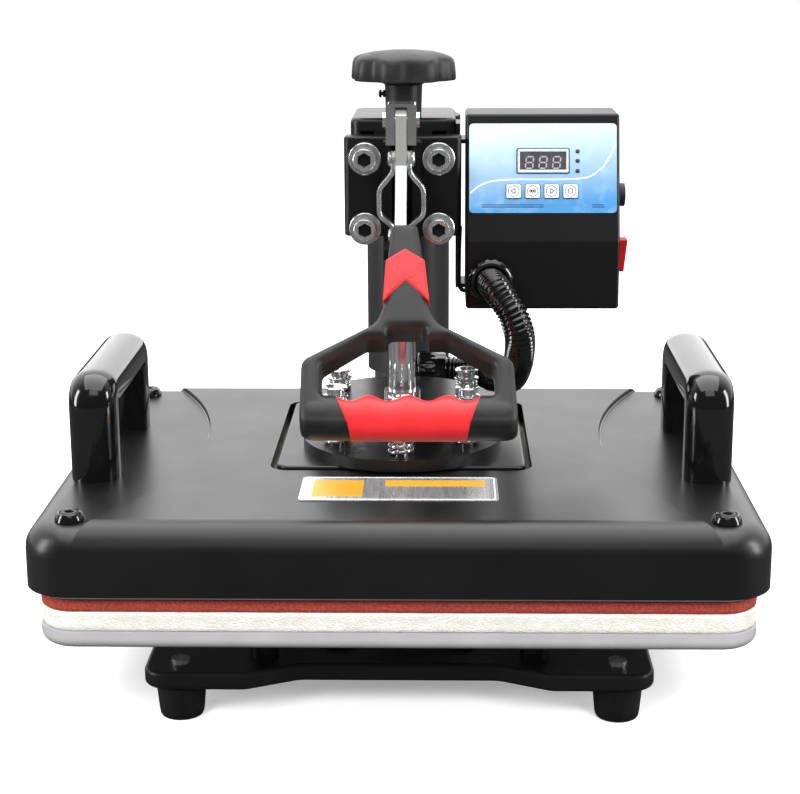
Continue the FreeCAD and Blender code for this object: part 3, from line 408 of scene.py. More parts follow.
def finishes():
    """Every material of the press, by the record's slot names and a few of their own."""
    made = {}

    def add(slot, colour, rough, **more):
        made[slot] = Finish(slot, colour, rough, **more)
        return made[slot]

    add("black_casting", (0.005, 0.005, 0.0055), 0.4).uneven(20, 0.04).grain(0.9, 0.05).grain(2.5, 0.05)
    grain = add("bracket_grain", (0.005, 0.005, 0.005), 0.34)
    grain.uneven(9, 0.05).grain(0.7, 0.16, 3).grain(1.6, 0.1)
    add("black_paint", (0.005, 0.005, 0.0055), 0.33).uneven(30, 0.03).grain(1.2, 0.012)
    paint = add("satin_paint", (0.022, 0.022, 0.023), 0.42)
    paint.uneven(30, 0.03).grain(1.2, 0.015).blotch(40, (0.026, 0.026, 0.027))
    add("gloss_paint", (0.005, 0.005, 0.0055), 0.24).uneven(20, 0.03).grain(0.6, 0.008)
    cover = add("black_cover", (0.0035, 0.0035, 0.0038), 0.35, coat=0.2, coat_rough=0.28)
    cover.uneven(40, 0.03).grain(0.45, 0.02, 1).grain(1.1, 0.012).blotch(60, (0.005, 0.005, 0.0054))
    add("black_case", (0.0035, 0.0035, 0.0038), 0.38).uneven(30, 0.03).grain(0.5, 0.012)
    plastic = add("black_plastic", (0.012, 0.012, 0.0118), 0.46)
    plastic.uneven(9, 0.05).grain(0.5, 0.03, 2).blotch(9, (0.018, 0.018, 0.0175))
    plastic.wear((0.06, 0.06, 0.058), 0.55, 0.63)
    black = add("gloss_black", (0.003, 0.003, 0.0033), 0.12, coat=0.5)
    black.uneven(25, 0.04).grain(7, 0.015).blotch(20, (0.005, 0.005, 0.0054))
    add("foot_rubber", (0.005, 0.005, 0.005), 0.66).uneven(3, 0.08).grain(0.7, 0.05)
    paint = add("grey_paint", (0.43, 0.43, 0.435), 0.4)
    paint.uneven(10, 0.05).grain(0.7, 0.012).blotch(25, (0.47, 0.47, 0.475))
    sponge = add("white_sponge", (0.8, 0.78, 0.72), 0.9, specular=0.2)
    sponge.blotch(5, (0.86, 0.85, 0.82))
    sponge.tint(sponge.ramp(sponge.spots(1.3), 0.25, 0.1, 0, 0.6), (0.62, 0.57, 0.46))
    sponge.grain(1.2, 0.5, 4).bump(sponge.spots(0.9), 0.35)
    silicone = add("red_silicone", (0.33, 0.052, 0.038), 0.72, specular=0.3)
    silicone.blotch(1.2, (0.47, 0.085, 0.062), 0.45, 0.6)
    silicone.tint(silicone.ramp(silicone.spots(1.1), 0.22, 0.08), (0.2, 0.03, 0.024))
    silicone.grain(0.9, 0.16, 3)
    aluminium = add("plate_aluminium", (0.8, 0.8, 0.8), 0.38, metallic=0.6)
    aluminium.uneven(5, 0.08).grain(0.5, 0.02).blotch(18, (0.88, 0.88, 0.87))
    blanket = add("insulation", (0.72, 0.69, 0.55), 0.95, specular=0.1)
    blanket.blotch(6, (0.84, 0.82, 0.7)).grain(1.4, 0.5, 4, (1, 0.2, 1)).grain(1.1, 0.4, 4, (0.2, 1, 1))
    steel = add("zinc_steel", (0.7, 0.71, 0.71), 0.22, metallic=0.85)
    steel.uneven(4, 0.05).grain(0.7, 0.02).blotch(3, (0.5, 0.51, 0.5))
    zinc = add("lever_zinc", (0.66, 0.67, 0.64), 0.34, metallic=0.7)
    zinc.uneven(3, 0.06).grain(0.5, 0.05, 4, (1, 1, 0.25)).blotch(2.2, (0.6, 0.6, 0.58), 0.5, 0.75)
    steel = add("ground_steel", (0.42, 0.42, 0.42), 0.26, metallic=1)
    steel.uneven(5, 0.08, (1, 1, 0.1)).grain(0.4, 0.01, 3, (0.05, 0.05, 1))
    chrome = add("chrome", (0.86, 0.86, 0.87), 0.09, metallic=0.92)
    chrome.uneven(9, 0.03).grain(0.35, 0.0025, 3, (0.08, 0.08, 1)).blotch(14, (0.78, 0.78, 0.8))
    add("bronze", (0.5, 0.3, 0.12), 0.4, metallic=1).uneven(4, 0.1).grain(0.6, 0.03)
    plastic = add("red_plastic", (0.78, 0.03, 0.034), 0.42, specular=0.4)
    plastic.uneven(9, 0.06).grain(0.5, 0.02).blotch(14, (0.7, 0.024, 0.028))
    window = add("dark_window", (0.055, 0.05, 0.058), 0.16, coat=0.6)
    window.uneven(12, 0.04).blotch(6, (0.075, 0.068, 0.075))
    add("circuit_board", (0.02, 0.14, 0.05), 0.4).uneven(3, 0.1).grain(0.8, 0.03)
    white = add("button_white", (0.8, 0.86, 0.9), 0.4)
    white.uneven(3, 0.08).blotch(2, (0.88, 0.92, 0.95)).grain(0.4, 0.01)
    red = add("switch_red", (0.42, 0.01, 0.012), 0.5, specular=0.2)
    red.uneven(6, 0.06).grain(2, 0.01).blotch(5, (0.55, 0.01, 0.012))
    add("print_black", (0.02, 0.022, 0.026), 0.5).uneven(1, 0.1).blotch(0.8, (0.035, 0.04, 0.045))
    add("amber_print", (0.85, 0.42, 0.03), 0.4).uneven(1, 0.1).blotch(1, (0.8, 0.38, 0.03))
    add("print_white", (0.92, 0.95, 0.97), 0.45).uneven(1, 0.1).blotch(0.8, (0.85, 0.9, 0.93))
    add("segment_grey", (0.3, 0.3, 0.33), 0.35).uneven(1, 0.1).blotch(1, (0.36, 0.36, 0.39))
    add("bezel_grey", (0.45, 0.56, 0.66), 0.35).uneven(2, 0.1).blotch(2, (0.55, 0.66, 0.76))
    add("print_blue", (0.03, 0.08, 0.22), 0.45).uneven(2, 0.1).blotch(2, (0.045, 0.11, 0.28))
    add("lamp_dark", (0.02, 0.03, 0.05), 0.15, coat=0.8).uneven(1, 0.05).blotch(1, (0.04, 0.05, 0.07))
    made["blue_overlay"] = overlay_finish()
    made["label_silver"] = label_finish()
    return {slot: finish.material for slot, finish in made.items()}


def overlay_finish():
    """Printed film: nearly white at the top left, clear blue at the bottom."""
    low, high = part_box("panel_overlay")
    film = Finish("blue_overlay", colour=(0.6, 0.71, 0.73), rough=0.4, coat=0.05)
    split = film.node("ShaderNodeSeparateXYZ")
    film.link(film.place, split.inputs[0])
    down = film.ramp(split.outputs["Z"], high.z, low.z)
    right = film.ramp(split.outputs["X"], low.x, high.x, 0.0, 0.16)
    share = film.node("ShaderNodeMath", operation="ADD", use_clamp=True)
    film.link(down, share.inputs[0])
    film.link(right, share.inputs[1])
    film.tint(share.outputs[0], (0.06, 0.24, 0.5))
    return film.blotch(9, (0.5, 0.7, 0.85), 0.5, 1.6).uneven(6, 0.05).grain(0.5, 0.006)


def label_finish():
    """Brushed silver foil with broad light and dark streaks across it."""
    foil = Finish("label_silver", colour=(0.7, 0.7, 0.71), rough=0.3, metallic=0.7)
    streak = foil.ramp(foil.noise(9, 2, (1, 0.05, 1)), 0.4, 0.62)
    foil.tint(streak, (0.55, 0.53, 0.54))
    return foil.uneven(1.2, 0.08, (1, 0.05, 1)).grain(0.4, 0.004, 3, (1, 0.04, 1))


MATERIALS = finishes()

# CAD nodes that stay, and the finish each one wears
NODE_FINISH = {
    "base_frame": "black_casting", "foot_screws": "zinc_steel", "column_post": "ground_steel",
    "post_bolts": "zinc_steel", "lower_tray": "grey_paint", "tray_spacers": "black_paint",
    "tray_screws": "zinc_steel", "arm_sleeve": "satin_paint", "sleeve_bushes": "bronze",
    "arm_casting": "black_paint", "head_housing": "black_paint", "control_bracket": "black_paint",
    "case_front": "black_case", "case_back": "black_case", "panel_overlay": "blue_overlay",
    "display_window": "dark_window", "control_board": "circuit_board", "switch_frame": "black_plastic",
    "power_inlet": "black_plastic", "lead_screw": "zinc_steel", "carriage_nut": "ground_steel",
    "bracket_left": "bracket_grain", "bracket_right": "bracket_grain", "pivot_clevis": "chrome",
    "pivot_pin": "chrome", "guide_barrel": "gloss_black", "lever_bar": "lever_zinc",
    "plunger_shaft": "chrome", "plunger_nut": "chrome", "upper_flange": "gloss_paint",
    "lower_flange": "bracket_grain", "recess_plate": "black_cover", "platen_cover": "black_cover",
    "heating_plate": "plate_aluminium", "heater_element": "zinc_steel", "handle_screws": "zinc_steel",
    "button_down": "button_white", "button_mode": "button_white", "button_up": "button_white",
    "button_set": "button_white", "switch_rocker": "switch_red", "fuse_cap": "black_plastic",
}
for node, slot in NODE_FINISH.items():
    NODES[node].data.materials.clear()
    NODES[node].data.materials.append(MATERIALS[slot])


# ---------------------------------------------------------------- soft sheets
def sheet(name, node, levels, rough_edge, ripple, finish):
    """A soft sheet in the place of its CAD solid.

    levels are (height share, inset) from the bottom to the top of its edge. The edge is frayed by
    rough_edge, and the faces are uneven by ripple.
    """
    low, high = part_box(node)
    centre = (low + high) / 2
    half = (high - low) / 2
    corner = 21 * MM
    inner = [6, 20, 45, 80, 120, 148]
    rise = high.z - low.z

    def ring(share, inset, fray):
        cut = inset * MM
        outline = rounded_rectangle(half.x - cut, half.y - cut, max(corner - cut, 2 * MM), 90, 10)
        points = []
        for flat in outline:
            spot = Vector((flat.x, flat.y, share * rise))
            push = noise.noise(spot * 260) + 0.6 * noise.noise(spot * 900)
            wave = noise.noise(spot * 45)
            out = flat.normalized() * (push * fray * rough_edge + min(wave, 0) * 0.4) * MM
            lift = (noise.noise(spot * 30) * ripple * (1 - fray) + push * fray * 0.25 * rough_edge) * MM
            height = low.z + share * rise + lift
            points.append(Vector((centre.x + flat.x + out.x, centre.y + flat.y + out.y,
                                  min(max(height, low.z), high.z))))
        return points

    rings = [ring(levels[0][0], inset, 0) for inset in reversed(inner)]
    rings += [ring(share, inset, 1) for share, inset in levels]
    rings += [ring(levels[-1][0], inset, 0) for inset in inner]
    return piece(name, [loft(rings)], NODES[node]["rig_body"], finish, (node,), 60)


def soft_sheets():
    foam = [(0.0, 1.6), (0.06, 0.7), (0.2, 0.3), (0.4, 0.45), (0.6, 0.5), (0.8, 0.35), (0.95, 0.6),
            (1.0, 1.4)]
    sheet("sponge_foam", "sponge_pad", foam, 0.6, 0.15, "white_sponge")
    rubber = [(0.0, 1.2), (0.1, 0.5), (0.35, 0.25), (0.65, 0.25), (0.9, 0.5), (1.0, 1.2)]
    sheet("silicone_sheet", "silicone_pad", rubber, 0.22, 0.12, "red_silicone")
    quilt = [(0.0, 2.5), (0.15, 1.0), (0.5, 0.4), (0.85, 1.0), (1.0, 2.5)]
    sheet("glass_wool", "insulation_pad", quilt, 0.9, 0.5, "insulation")


# ---------------------------------------------------------------- rubber feet
def rubber_feet():
    low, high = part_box("base_feet")
    radius = 14 * MM
    rows = (low.y + radius, high.y - radius)
    spots = [(sign * (high.x - radius), y, low.z) for sign in (1, -1) for y in rows]
    profile = [(6, 0), (10.4, 0), (11.6, 0.5), (12.2, 1.6), (12.6, 4), (13.9, 18), (14, 20.3), (6, 20.3)]
    feet = [turned(profile, 40, at) for at in spots]
    piece("rubber_feet", feet, "base", "foot_rubber", ("base_feet",))


# ---------------------------------------------------------------- side handles
def grab_bars():
    """Each bar is a D section, round outside and flat inside, carried up, over and down."""
    for side in ("right", "left"):
        node = f"side_handle_{side}"
        low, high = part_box(node)
        centre = (low + high) / 2
        reach, top = (high.y - low.y) / 2, 182.6 * MM
        leg, bar, bend = 25 * MM, 21 * MM, 20 * MM
        foot = low.z
        # The outer face runs up a leg, round a shoulder and over: a point, the way out, the thickness
        path = []
        for k in range(9):
            path.append((-reach, foot + (top - bend - foot) * k / 8, -math.pi / 2, leg))
        for k in range(1, 15):
            angle = math.pi / 2 * k / 15
            share = k / 15
            path.append((-reach + bend - bend * math.cos(angle), top - bend + bend * math.sin(angle),
                         -math.pi / 2 + angle, leg + (bar - leg) * share))
        half = path + [(-reach + bend + (reach - bend) * k / 10, top, 0, bar) for k in range(11)]
        whole = half + [(-y, z, -way, thick) for y, z, way, thick in reversed(half[:-1])]
        wide = (high.x - low.x) / 2
        section = []
        for k in range(25):
            angle = math.pi * k / 24
            section.append((math.cos(angle) * wide, 1 - 0.56 * (1 - math.sin(angle) ** 0.8)))
        section += [(-wide * 0.97, 0.16), (-wide * 0.92, 0.07), (-wide * 0.8, 0.0), (wide * 0.8, 0.0),
                    (wide * 0.92, 0.07), (wide * 0.97, 0.16)]
        rings = []
        for y, z, way, thick in whole:
            out_y, out_z = math.sin(way), math.cos(way)
            ring = []
            for x, depth in section:
                inwards = (1 - depth) * thick
                ring.append(Vector((centre.x + x, centre.y + y - out_y * inwards, z - out_z * inwards)))
            rings.append(ring)
        piece(f"grab_bar_{side}", [loft(rings)], "platen", "gloss_black", (node,), 50)


# ---------------------------------------------------------------- pressure knob
def knob():
    low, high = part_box("pressure_knob")
    centre = middle("pressure_knob")
    radius = (high.x - low.x) / 2
    lobes, depth, turn = 8, 3.8 * MM, math.radians(8)
    rim, floor = 337.5 * MM, low.z
    # Radius share, height, and how deep the hollows are there
    profile = [(0.33, floor, 0), (0.335, floor + 1 * MM, 0), (0.35, rim - 3 * MM, 0),
               (0.5, rim - 0.2 * MM, 0), (0.9, rim - 0.2 * MM, 0.8), (0.985, rim + 0.2 * MM, 1),
               (1.0, rim + 1.2 * MM, 1), (0.99, rim + 6 * MM, 1), (0.975, rim + 10.5 * MM, 0.95),
               (0.95, rim + 12.6 * MM, 0.85),
               (0.9, rim + 14 * MM, 0.65), (0.8, rim + 15.2 * MM, 0.35), (0.6, rim + 16.6 * MM, 0.1),
               (0.3, rim + 17.6 * MM, 0), (0.02, rim + 17.8 * MM, 0)]
    rings = []
    for share, height, hollow in profile:
        ring = []
        for k in range(192):
            angle = 2 * math.pi * k / 192
            wave = (0.5 + 0.5 * math.cos(lobes * (angle + math.pi / 2 - turn))) ** 1.4
            size = radius * share - wave * depth * hollow
            x, y = size * math.cos(angle), size * math.sin(angle)
            ring.append(Vector((centre.x + x, centre.y + y, height)))
        rings.append(ring)
    piece("knob_lobed", [loft(rings)], "knob", "black_plastic", ("pressure_knob",), 50)
    screw = [(2.2, 0), (2.2, 1.6), (1.2, 1.7), (1.2, 2.4), (2.4, 2.5), (2.4, 3.6), (1.6, 4.2)]
    stop = turned(screw, 20, (centre.x - 11 * MM, centre.y, 329 * MM), (-1, 0, 0))
    piece("knob_grub_screw", [stop], "knob", "black_paint")


# ---------------------------------------------------------------- pressing handle
TILT = math.radians(40)
SOCKET = Vector((0, PRESS_Y - 20 * MM, 263 * MM))
# The handle hangs a little to the right on its loose pivot
HANDLE_SHIFT, HANDLE_LEAN = 2.2, 0.028


def down_handle(x, length, out=0.0):
    """A point of the handle: across it, down its length and out of its front, in millimetres."""
    ahead = Vector((0, -math.sin(TILT), -math.cos(TILT)))
    front = Vector((0, -math.cos(TILT), math.sin(TILT)))
    leaning = x + HANDLE_SHIFT + HANDLE_LEAN * length
    return SOCKET + Vector((leaning * MM, 0, 0)) + ahead * length * MM + front * out * MM


def handle_space(p):
    """Turns a flat part drawn as across, minus length, out (in metres) into the handle's place."""
    return down_handle(p.x / MM, -p.y / MM, p.z / MM)


def yoke():
    """The moulded yoke: a neck that splits into two arms, with a cross bar for the grip."""
    half = [(7.4, -7, 2.5), (9.8, -27, 30), (12.2, -58, 14), (16.5, -70, 14), (58.4, -93.5, 7),
            (59.4, -134, 7)]
    outside = rounded([(x, y, r) for x, y, r in half] + [(-x, y, r) for x, y, r in reversed(half)])
    inner = [(10.5, -73.5, 3), (10.5, -80, 2), (22.5, -80, 5), (47.6, -96.5, 5), (47.6, -116, 4)]
    window = rounded([(x, y, r) for x, y, r in inner] + [(-x, y, r) for x, y, r in reversed(inner)])
    blade = plate([outside, window], 23, 4.2, 4)
    parts = [parts_of(blade)]
    radius, axis = 12.5, -124.5
    for sign in (1, -1):
        steps = [(30, 1), (39, 1), (46, 1.0), (53, 0.99), (56.5, 0.93), (58.6, 0.8), (59.3, 0.62)]
        rings = []
        for x, share in steps:
            section = circle(radius, 40)
            rings.append([Vector((sign * x, axis + p.x * share, p.y * share)) * MM for p in section])
        parts.append(loft(rings if sign > 0 else rings[::-1]))
    skin = melted("yoke_moulding", parts, 0.85, 5)
    wedge = [(41.8, -108.5), (28.5, -146.5)]
    made = mesh_piece("yoke_moulding", cut_between(skin, wedge), None, "black_plastic",
                      ("handle_yoke",), 40)
    for v in made.data.vertices:
        v.co = handle_space(v.co)
    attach(made, "handle")


def cut_between(mesh, wedge):
    """Takes the middle of the cross bar away between two slanting planes, where the grip goes."""
    (wide_x, top), (narrow_x, bottom) = wedge
    work = bmesh.new()
    work.from_mesh(mesh)
    for sign in (1, -1):
        along = Vector((sign * (wide_x - narrow_x), top - bottom, 0)).normalized()
        normal = Vector((along.y, -along.x, 0)) * sign
        near = [g for g in work.verts[:] + work.edges[:] + work.faces[:]
                if centre_of(g).y < (top + 1) * MM and sign * centre_of(g).x > 0]
        edge = Vector((sign * wide_x, top, 0)) * MM
        bmesh.ops.bisect_plane(work, geom=near, dist=1e-6, plane_co=edge, plane_no=normal,
                               clear_inner=True)
    bmesh.ops.holes_fill(work, edges=[e for e in work.edges if e.is_boundary], sides=0)
    bmesh.ops.recalc_face_normals(work, faces=work.faces)
    work.to_mesh(mesh)
    work.free()
    return mesh


def centre_of(element):
    """The middle of a vertex, an edge or a face of a mesh being edited."""
    if hasattr(element, "co"):
        return element.co
    return sum((v.co for v in element.verts), Vector()) / len(element.verts)


def grip():
    """The tapered red sleeve with four finger hollows on its upper side."""
    radius, axis = 12.9, -124.5
    hollows = [-32, -10.7, 10.7, 32]
    rings = []
    rows = 121
    for row in range(rows):
        t = -1 + 2 * row / (rows - 1)
        ring = []
        for flat in circle(1.0, 64):
            up, out = flat.x, flat.y
            # The ends slant: the sleeve is wider at the top than at the bottom
            x = t * (36.2 + 0.35 * up * radius)
            dip = max(math.exp(-((x - h) / 6) ** 2) for h in hollows)
            share = 1 - 0.42 * dip * max(up, 0) ** 1.5
            edge = min(1 - abs(t), 0.02) / 0.02
            share *= 0.965 + 0.035 * edge ** 0.5
            depth = out * radius * (0.35 + 0.65 * share)
            ring.append(Vector((x, axis + up * radius * share, depth)) * MM)
        rings.append(ring)
    part = moved(loft(rings), handle_space)
    piece("finger_grip", [part], "handle", "red_plastic", ("handle_grip",), 50)


def band():
    """The red chevron band round the neck."""
    edge = [(0, -24), (10.9, -31.5), (13.1, -58.5), (0, -45), (-13.1, -58.5), (-10.9, -31.5)]
    chevron = rounded([(x, y, 0.6) for x, y in edge], 2)
    blank = plate([chevron], 24.4, 1.6, 4)
    part = moved(parts_of(blank), handle_space)
    piece("chevron_band", [part], "handle", "red_plastic", ("handle_band",), 40)


# ---------------------------------------------------------------- toggle links
def toggle_links():
    """Two bent strips with rivets, joined by the knee pin."""
    knee, ankle = 296.8, 252.0
    inner, outer = 3.4, 6.0
    near, far = 4.7, 13.0
    bends = [(near, knee + 4.8), (near, knee - 7.6), (far, knee - 17.2), (far, ankle + 12),
             (near, ankle + 5.6), (near, ankle - 4.8)]
    parts = []
    for sign in (1, -1):
        path = bend_path(bends, 3.2)
        rings = []
        for i, (x, z) in enumerate(path):
            ahead = Vector(path[min(i + 1, len(path) - 1)]) - Vector(path[max(i - 1, 0)])
            side = Vector((ahead.y, -ahead.x)).normalized() * 1.3
            ends = min(z - path[-1][1], path[0][1] - z)
            wide = 5 * math.sqrt(max(0.0, 1 - max(0.0, 1 - ends / 4.8) ** 2)) if ends < 4.8 else 5
            wide = max(wide, 0.6)
            bevel = 0.35
            ring = []
            for a, b in ((-1, -1 + bevel), (-1 + bevel, -1), (1 - bevel, -1), (1, -1 + bevel),
                         (1, 1 - bevel), (1 - bevel, 1), (-1 + bevel, 1), (-1, 1 - bevel)):
                depth = b * wide if abs(b) == 1 else math.copysign(wide - 0.45, b)
                spot = Vector((sign * (x + a * side.x), PRESS_Y / MM + depth, z + a * side.y))
                ring.append(spot * MM)
            rings.append(ring)
        parts.append(loft(rings))
        for height, radius in ((knee, 4.4), (ankle, 4.0)):
            head = [(radius, 0), (radius, 1.0), (radius * 0.86, 1.7), (radius * 0.5, 2.05), (0.1, 2.15)]
            parts.append(turned(head, 32, (sign * outer * MM, PRESS_Y, height * MM), (sign, 0, 0)))
    parts.append(turned([(2.5, -inner), (2.5, inner)], 24, (0, PRESS_Y, knee * MM), (1, 0, 0)))
    piece("bent_links", parts, "links", "zinc_steel", ("toggle_links",), 35)


def bend_path(corners, radius, steps=6):
    """An open line with its inner corners made into arcs, as (x, z) pairs."""
    path = [corners[0]]
    for before, here, after in zip(corners, corners[1:], corners[2:]):
        a, b, c = Vector(before), Vector(here), Vector(after)
        first = b + (a - b).normalized() * min(radius, (a - b).length * 0.45)
        last = b + (c - b).normalized() * min(radius, (c - b).length * 0.45)
        for k in range(steps + 1):
            u = k / steps
            point = first.lerp(b, u).lerp(b.lerp(last, u), u)
            path.append((point.x, point.y))
    return path + [corners[-1]]


# ---------------------------------------------------------------- screws and bolts
def socket_head(centre, axis, radius, tall, hexagon, deep):
    """A cap screw head with a knurled side, a soft rim and a hexagonal socket."""
    def knurled(share, knurl):
        return lambda k, angle: radius * share - 0.22 * (k % 2) * knurl

    def six_sided(grow):
        half = math.pi / 6
        apothem = hexagon * grow * math.cos(half)
        return lambda k, angle: apothem / math.cos((angle + half) % (2 * half) - half)

    outside = [(1, 0, 0), (1, 0.4, 1), (1, tall - 1.1, 1), (0.97, tall - 0.45, 0), (0.9, tall - 0.1, 0),
               (0.82, tall, 0), (0.7, tall, 0)]
    socket = [(1.06, tall - 0.15), (1.0, tall - 0.6), (1.0, tall - deep), (0.5, tall - deep - 0.6)]
    place = (centre, towards(axis), 72)
    rings = [swept(*place, height, knurled(share, knurl)) for share, height, knurl in outside]
    rings += [swept(*place, height, six_sided(grow)) for grow, height in socket]
    return loft(rings)


def bracket_screws():
    low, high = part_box("bracket_screws")
    reach = 9.5 * MM
    xs = (low.x + reach, high.x - reach)
    zs = (low.z + reach, high.z - reach)
    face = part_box("bracket_right")[0].y
    parts, socket_shade_discs = [], []
    for x in xs:
        for z in zs:
            ring = [(4.3, 0), (9.1, 0), (9.5, 0.3), (9.5, 1.3), (9.1, 1.65), (7.2, 1.7), (4.3, 1.7)]
            parts.append(turned(ring, 64, (x, face, z), (0, -1, 0)))
            parts.append(socket_head((x, face - 1.7 * MM, z), (0, -1, 0), 6.8, 7.2, 4.2, 4.2))
            # A black disc at the foot of each socket: painted shade in the deep recess of the zinc head
            shade_disc = [(4.1, 0), (4.1, 0.3), (0.05, 0.35)]
            socket_shade_discs.append(turned(shade_disc, 24, (x, face - 4.4 * MM, z), (0, -1, 0)))
            parts.append(turned([(4, 0), (4, 34)], 24, (x, face, z), (0, 1, 0)))
    piece("cap_screws", parts, "carriage", "zinc_steel", ("bracket_screws",), 35)
    # The black discs in the sockets are painted shade
    piece("cap_screw_socket_shade", socket_shade_discs, "carriage", "black_paint")


def corner_screws():
    low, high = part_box("cover_screws")
    reach = 8 * MM
    parts, collars = [], []
    top = 120.6 * MM
    for x in (low.x + reach, high.x - reach):
        for y in (low.y + reach, high.y - reach):
            ring = [(5.2, 0), (7.9, 0), (8.2, 0.5), (8.0, 1.4), (6.9, 4.2), (6.4, 4.7), (5.8, 4.7),
                    (5.3, 4.2), (5.2, 2)]
            collars.append(turned(ring, 48, (x, y, top)))
            parts.append(socket_head((x, y, top + 1.6 * MM), (0, 0, 1), 5.1, 3.4, 2.7, 2))
            parts.append(turned([(2.5, -30), (2.5, 2)], 20, (x, y, top)))
    piece("corner_collars", collars, "platen", "gloss_black", ("cover_screws",), 40)
    piece("corner_screw_set", parts, "platen", "black_paint", (), 35)


def flange_spots():
    """The six places on the flanges' bolt circle, the first one at the back."""
    reach = 44.7 * MM
    angles = [math.pi / 2 + k * math.pi / 3 for k in range(6)]
    return [Vector((reach * math.cos(angle), PRESS_Y + reach * math.sin(angle), 0)) for angle in angles]


def flange_spools():
    """Chrome bolts through the flanges, and the wave washers under their collars."""
    seat, deck = 159.8, 154.2
    collar = [(6.9, 0), (7.4, 0.4), (7.4, 1.2), (6.9, 1.6), (5.3, 1.9), (5.3, 4.6), (6.6, 4.9),
              (7.1, 5.2), (7.1, 6.1), (6.6, 6.5), (4.6, 6.2), (3.4, 5.2), (0.1, 5.2)]
    profile = [(4, 127), (4, seat)] + [(radius, seat + height) for radius, height in collar]
    bolts = [turned(profile, 48, at) for at in flange_spots()]
    piece("flange_spools", bolts, "platen", "chrome", ("flange_bolts",), 35)
    turns, wire, radius = 2.9, 0.85, 6.0
    stacks = [coil(at, radius, wire, deck + 0.95, seat - 0.95, turns) for at in flange_spots()]
    washers = piece("flange_wave_washers", stacks, None, "chrome", (), 50)
    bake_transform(washers)


def coil(at, radius, wire, low, high, turns):
    """A helical spring between two heights, with its end turns laid flat."""
    steps = int(turns * 28)
    path = []
    for i in range(steps + 1):
        share = i / steps
        angle = 2 * math.pi * turns * share
        rest = 0.75 / turns
        climb = min(max((share - rest * 0.5) / (1 - rest), 0), 1)
        path.append(at + Vector((radius * math.cos(angle), radius * math.sin(angle),
                                 low + (high - low) * climb)) * MM)
    return loft(tube(path, circle(wire * MM, 12)))


def flange_coils():
    """The six springs between the flanges."""
    foot, top, turns, wire, radius = 132.8, 148.0, 5.2, 1.1, 6.6
    stacks = [coil(at, radius, wire, foot, top, turns) for at in flange_spots()]
    springs = piece("flange_coils", stacks, None, "chrome", ("flange_springs",), 50)
    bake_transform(springs)


# ---------------------------------------------------------------- cable guard and its glands
def gland(start, axis, radius, length, ribs):
    """A dark nut with a ribbed grip, then a smooth collar."""
    profile = [(0.88, 0), (0.97, 0.04), (1, 0.1), (1, 0.62), (0.96, 0.68), (0.93, 0.72), (0.93, 0.94),
               (0.88, 1.0), (0.76, 1.0), (0.72, 0.9), (0.72, 0.3)]

    def grooved(share, along):
        depth = 0.04 if 0.05 < along < 0.66 and share == 1 else 0
        return lambda k, angle: radius * (share - depth * max(math.cos(ribs * angle), 0))

    turn = towards(axis)
    return loft([swept(start, turn, 96, length * along, grooved(share, along))
                 for share, along in profile])


def glands():
    low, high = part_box("upper_gland")
    nut_length = 9.9
    centre = (low + high) / 2
    upper = gland((centre.x, low.y + nut_length * MM, centre.z), (0, -1, 0), 13.5, nut_length, 16)
    neck_length = (high.y - low.y) / MM - nut_length
    neck = turned([(11, 0), (11, neck_length)], 40, (centre.x, low.y + 9.8 * MM, centre.z), (0, 1, 0))
    piece("case_gland", [upper, neck], "swing_arm", "gloss_black", ("upper_gland",), 40)
    low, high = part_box("lower_gland")
    spot = Vector((8 * MM, (low.y + high.y) / 2, 151 * MM))
    nut = gland(spot, (1, 0, 0), 12.5, 18, 12)
    elbow = [Vector((0, spot.y, low.z))]
    elbow += [Vector((x * MM, spot.y, z * MM)) for x, z in ((0, 138), (0.6, 146), (4, 150.4), (9, 151))]
    pipe = loft(tube(spline(elbow, 6), circle(8.8 * MM, 32)))
    foot = turned([(10.5, 0), (12, 0.5), (12, 3.4), (10.5, 4.2), (8.8, 4.6)], 40, (0, spot.y, low.z))
    parts = [nut, pipe, foot]
    piece("platen_gland", parts, "platen", "gloss_black", ("lower_gland",), 40)


def cable_guard():
    """A corrugated guard that hangs in a loop, in three lengths."""
    stations = [(53, 19, 222), (53, 9, 222), (57, -3, 219), (64.5, -10.5, 208.5), (69.5, -9, 194),
                (70, 6, 178), (69, 28, 164), (66, 50, 153.5), (56, 70, 149.5), (40, 80.5, 150.5),
                (26, 82, 151), (17, 82, 151)]
    route = spline([Vector((x, y + PRESS_Y / MM, z)) * MM for x, y, z in stations], 60)
    # Even steps along the route, eight to each rib
    pitch, steps = 2.7 * MM, 8
    walked, even = 0.0, [route[0]]
    for a, b in zip(route, route[1:]):
        gap = (b - a).length
        while gap > 0 and walked + gap >= pitch / steps:
            share = (pitch / steps - walked) / gap
            a = a.lerp(b, share)
            gap = (b - a).length
            even.append(a)
            walked = 0.0
        walked += gap
    swell = []
    for i in range(len(even)):
        phase = 2 * math.pi * (i % steps) / steps
        rib = 0.5 + 0.5 * math.cos(phase)
        swell.append(7.9 + 1.2 * rib ** 0.8)
    rings = tube(even, circle(1 * MM, 36), swell)
    first = nearest(even, Vector((64.5, -10.5 + PRESS_Y / MM, 208.5)) * MM)
    second = nearest(even, Vector((66, 50 + PRESS_Y / MM, 153.5)) * MM)
    spans = (("cable_guard_upper", 0, first, "swing_arm", "carriage"),
             ("cable_guard_loop", first, second, "carriage", "plunger"),
             ("cable_guard_lower", second, len(even) - 1, "plunger", "platen"))
    for name, begin, end, body, following in spans:
        part = loft(rings[begin:end + 1])
        replaced = ("cable_conduit",) if begin == first else ()
        length = piece(name, [part], None, "gloss_black", replaced, 60)
        a, b = even[begin], even[end]
        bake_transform(length)


def nearest(points, target):
    """The place in a list of the point nearest to a target."""
    return min(range(len(points)), key=lambda i: (points[i] - target).length)


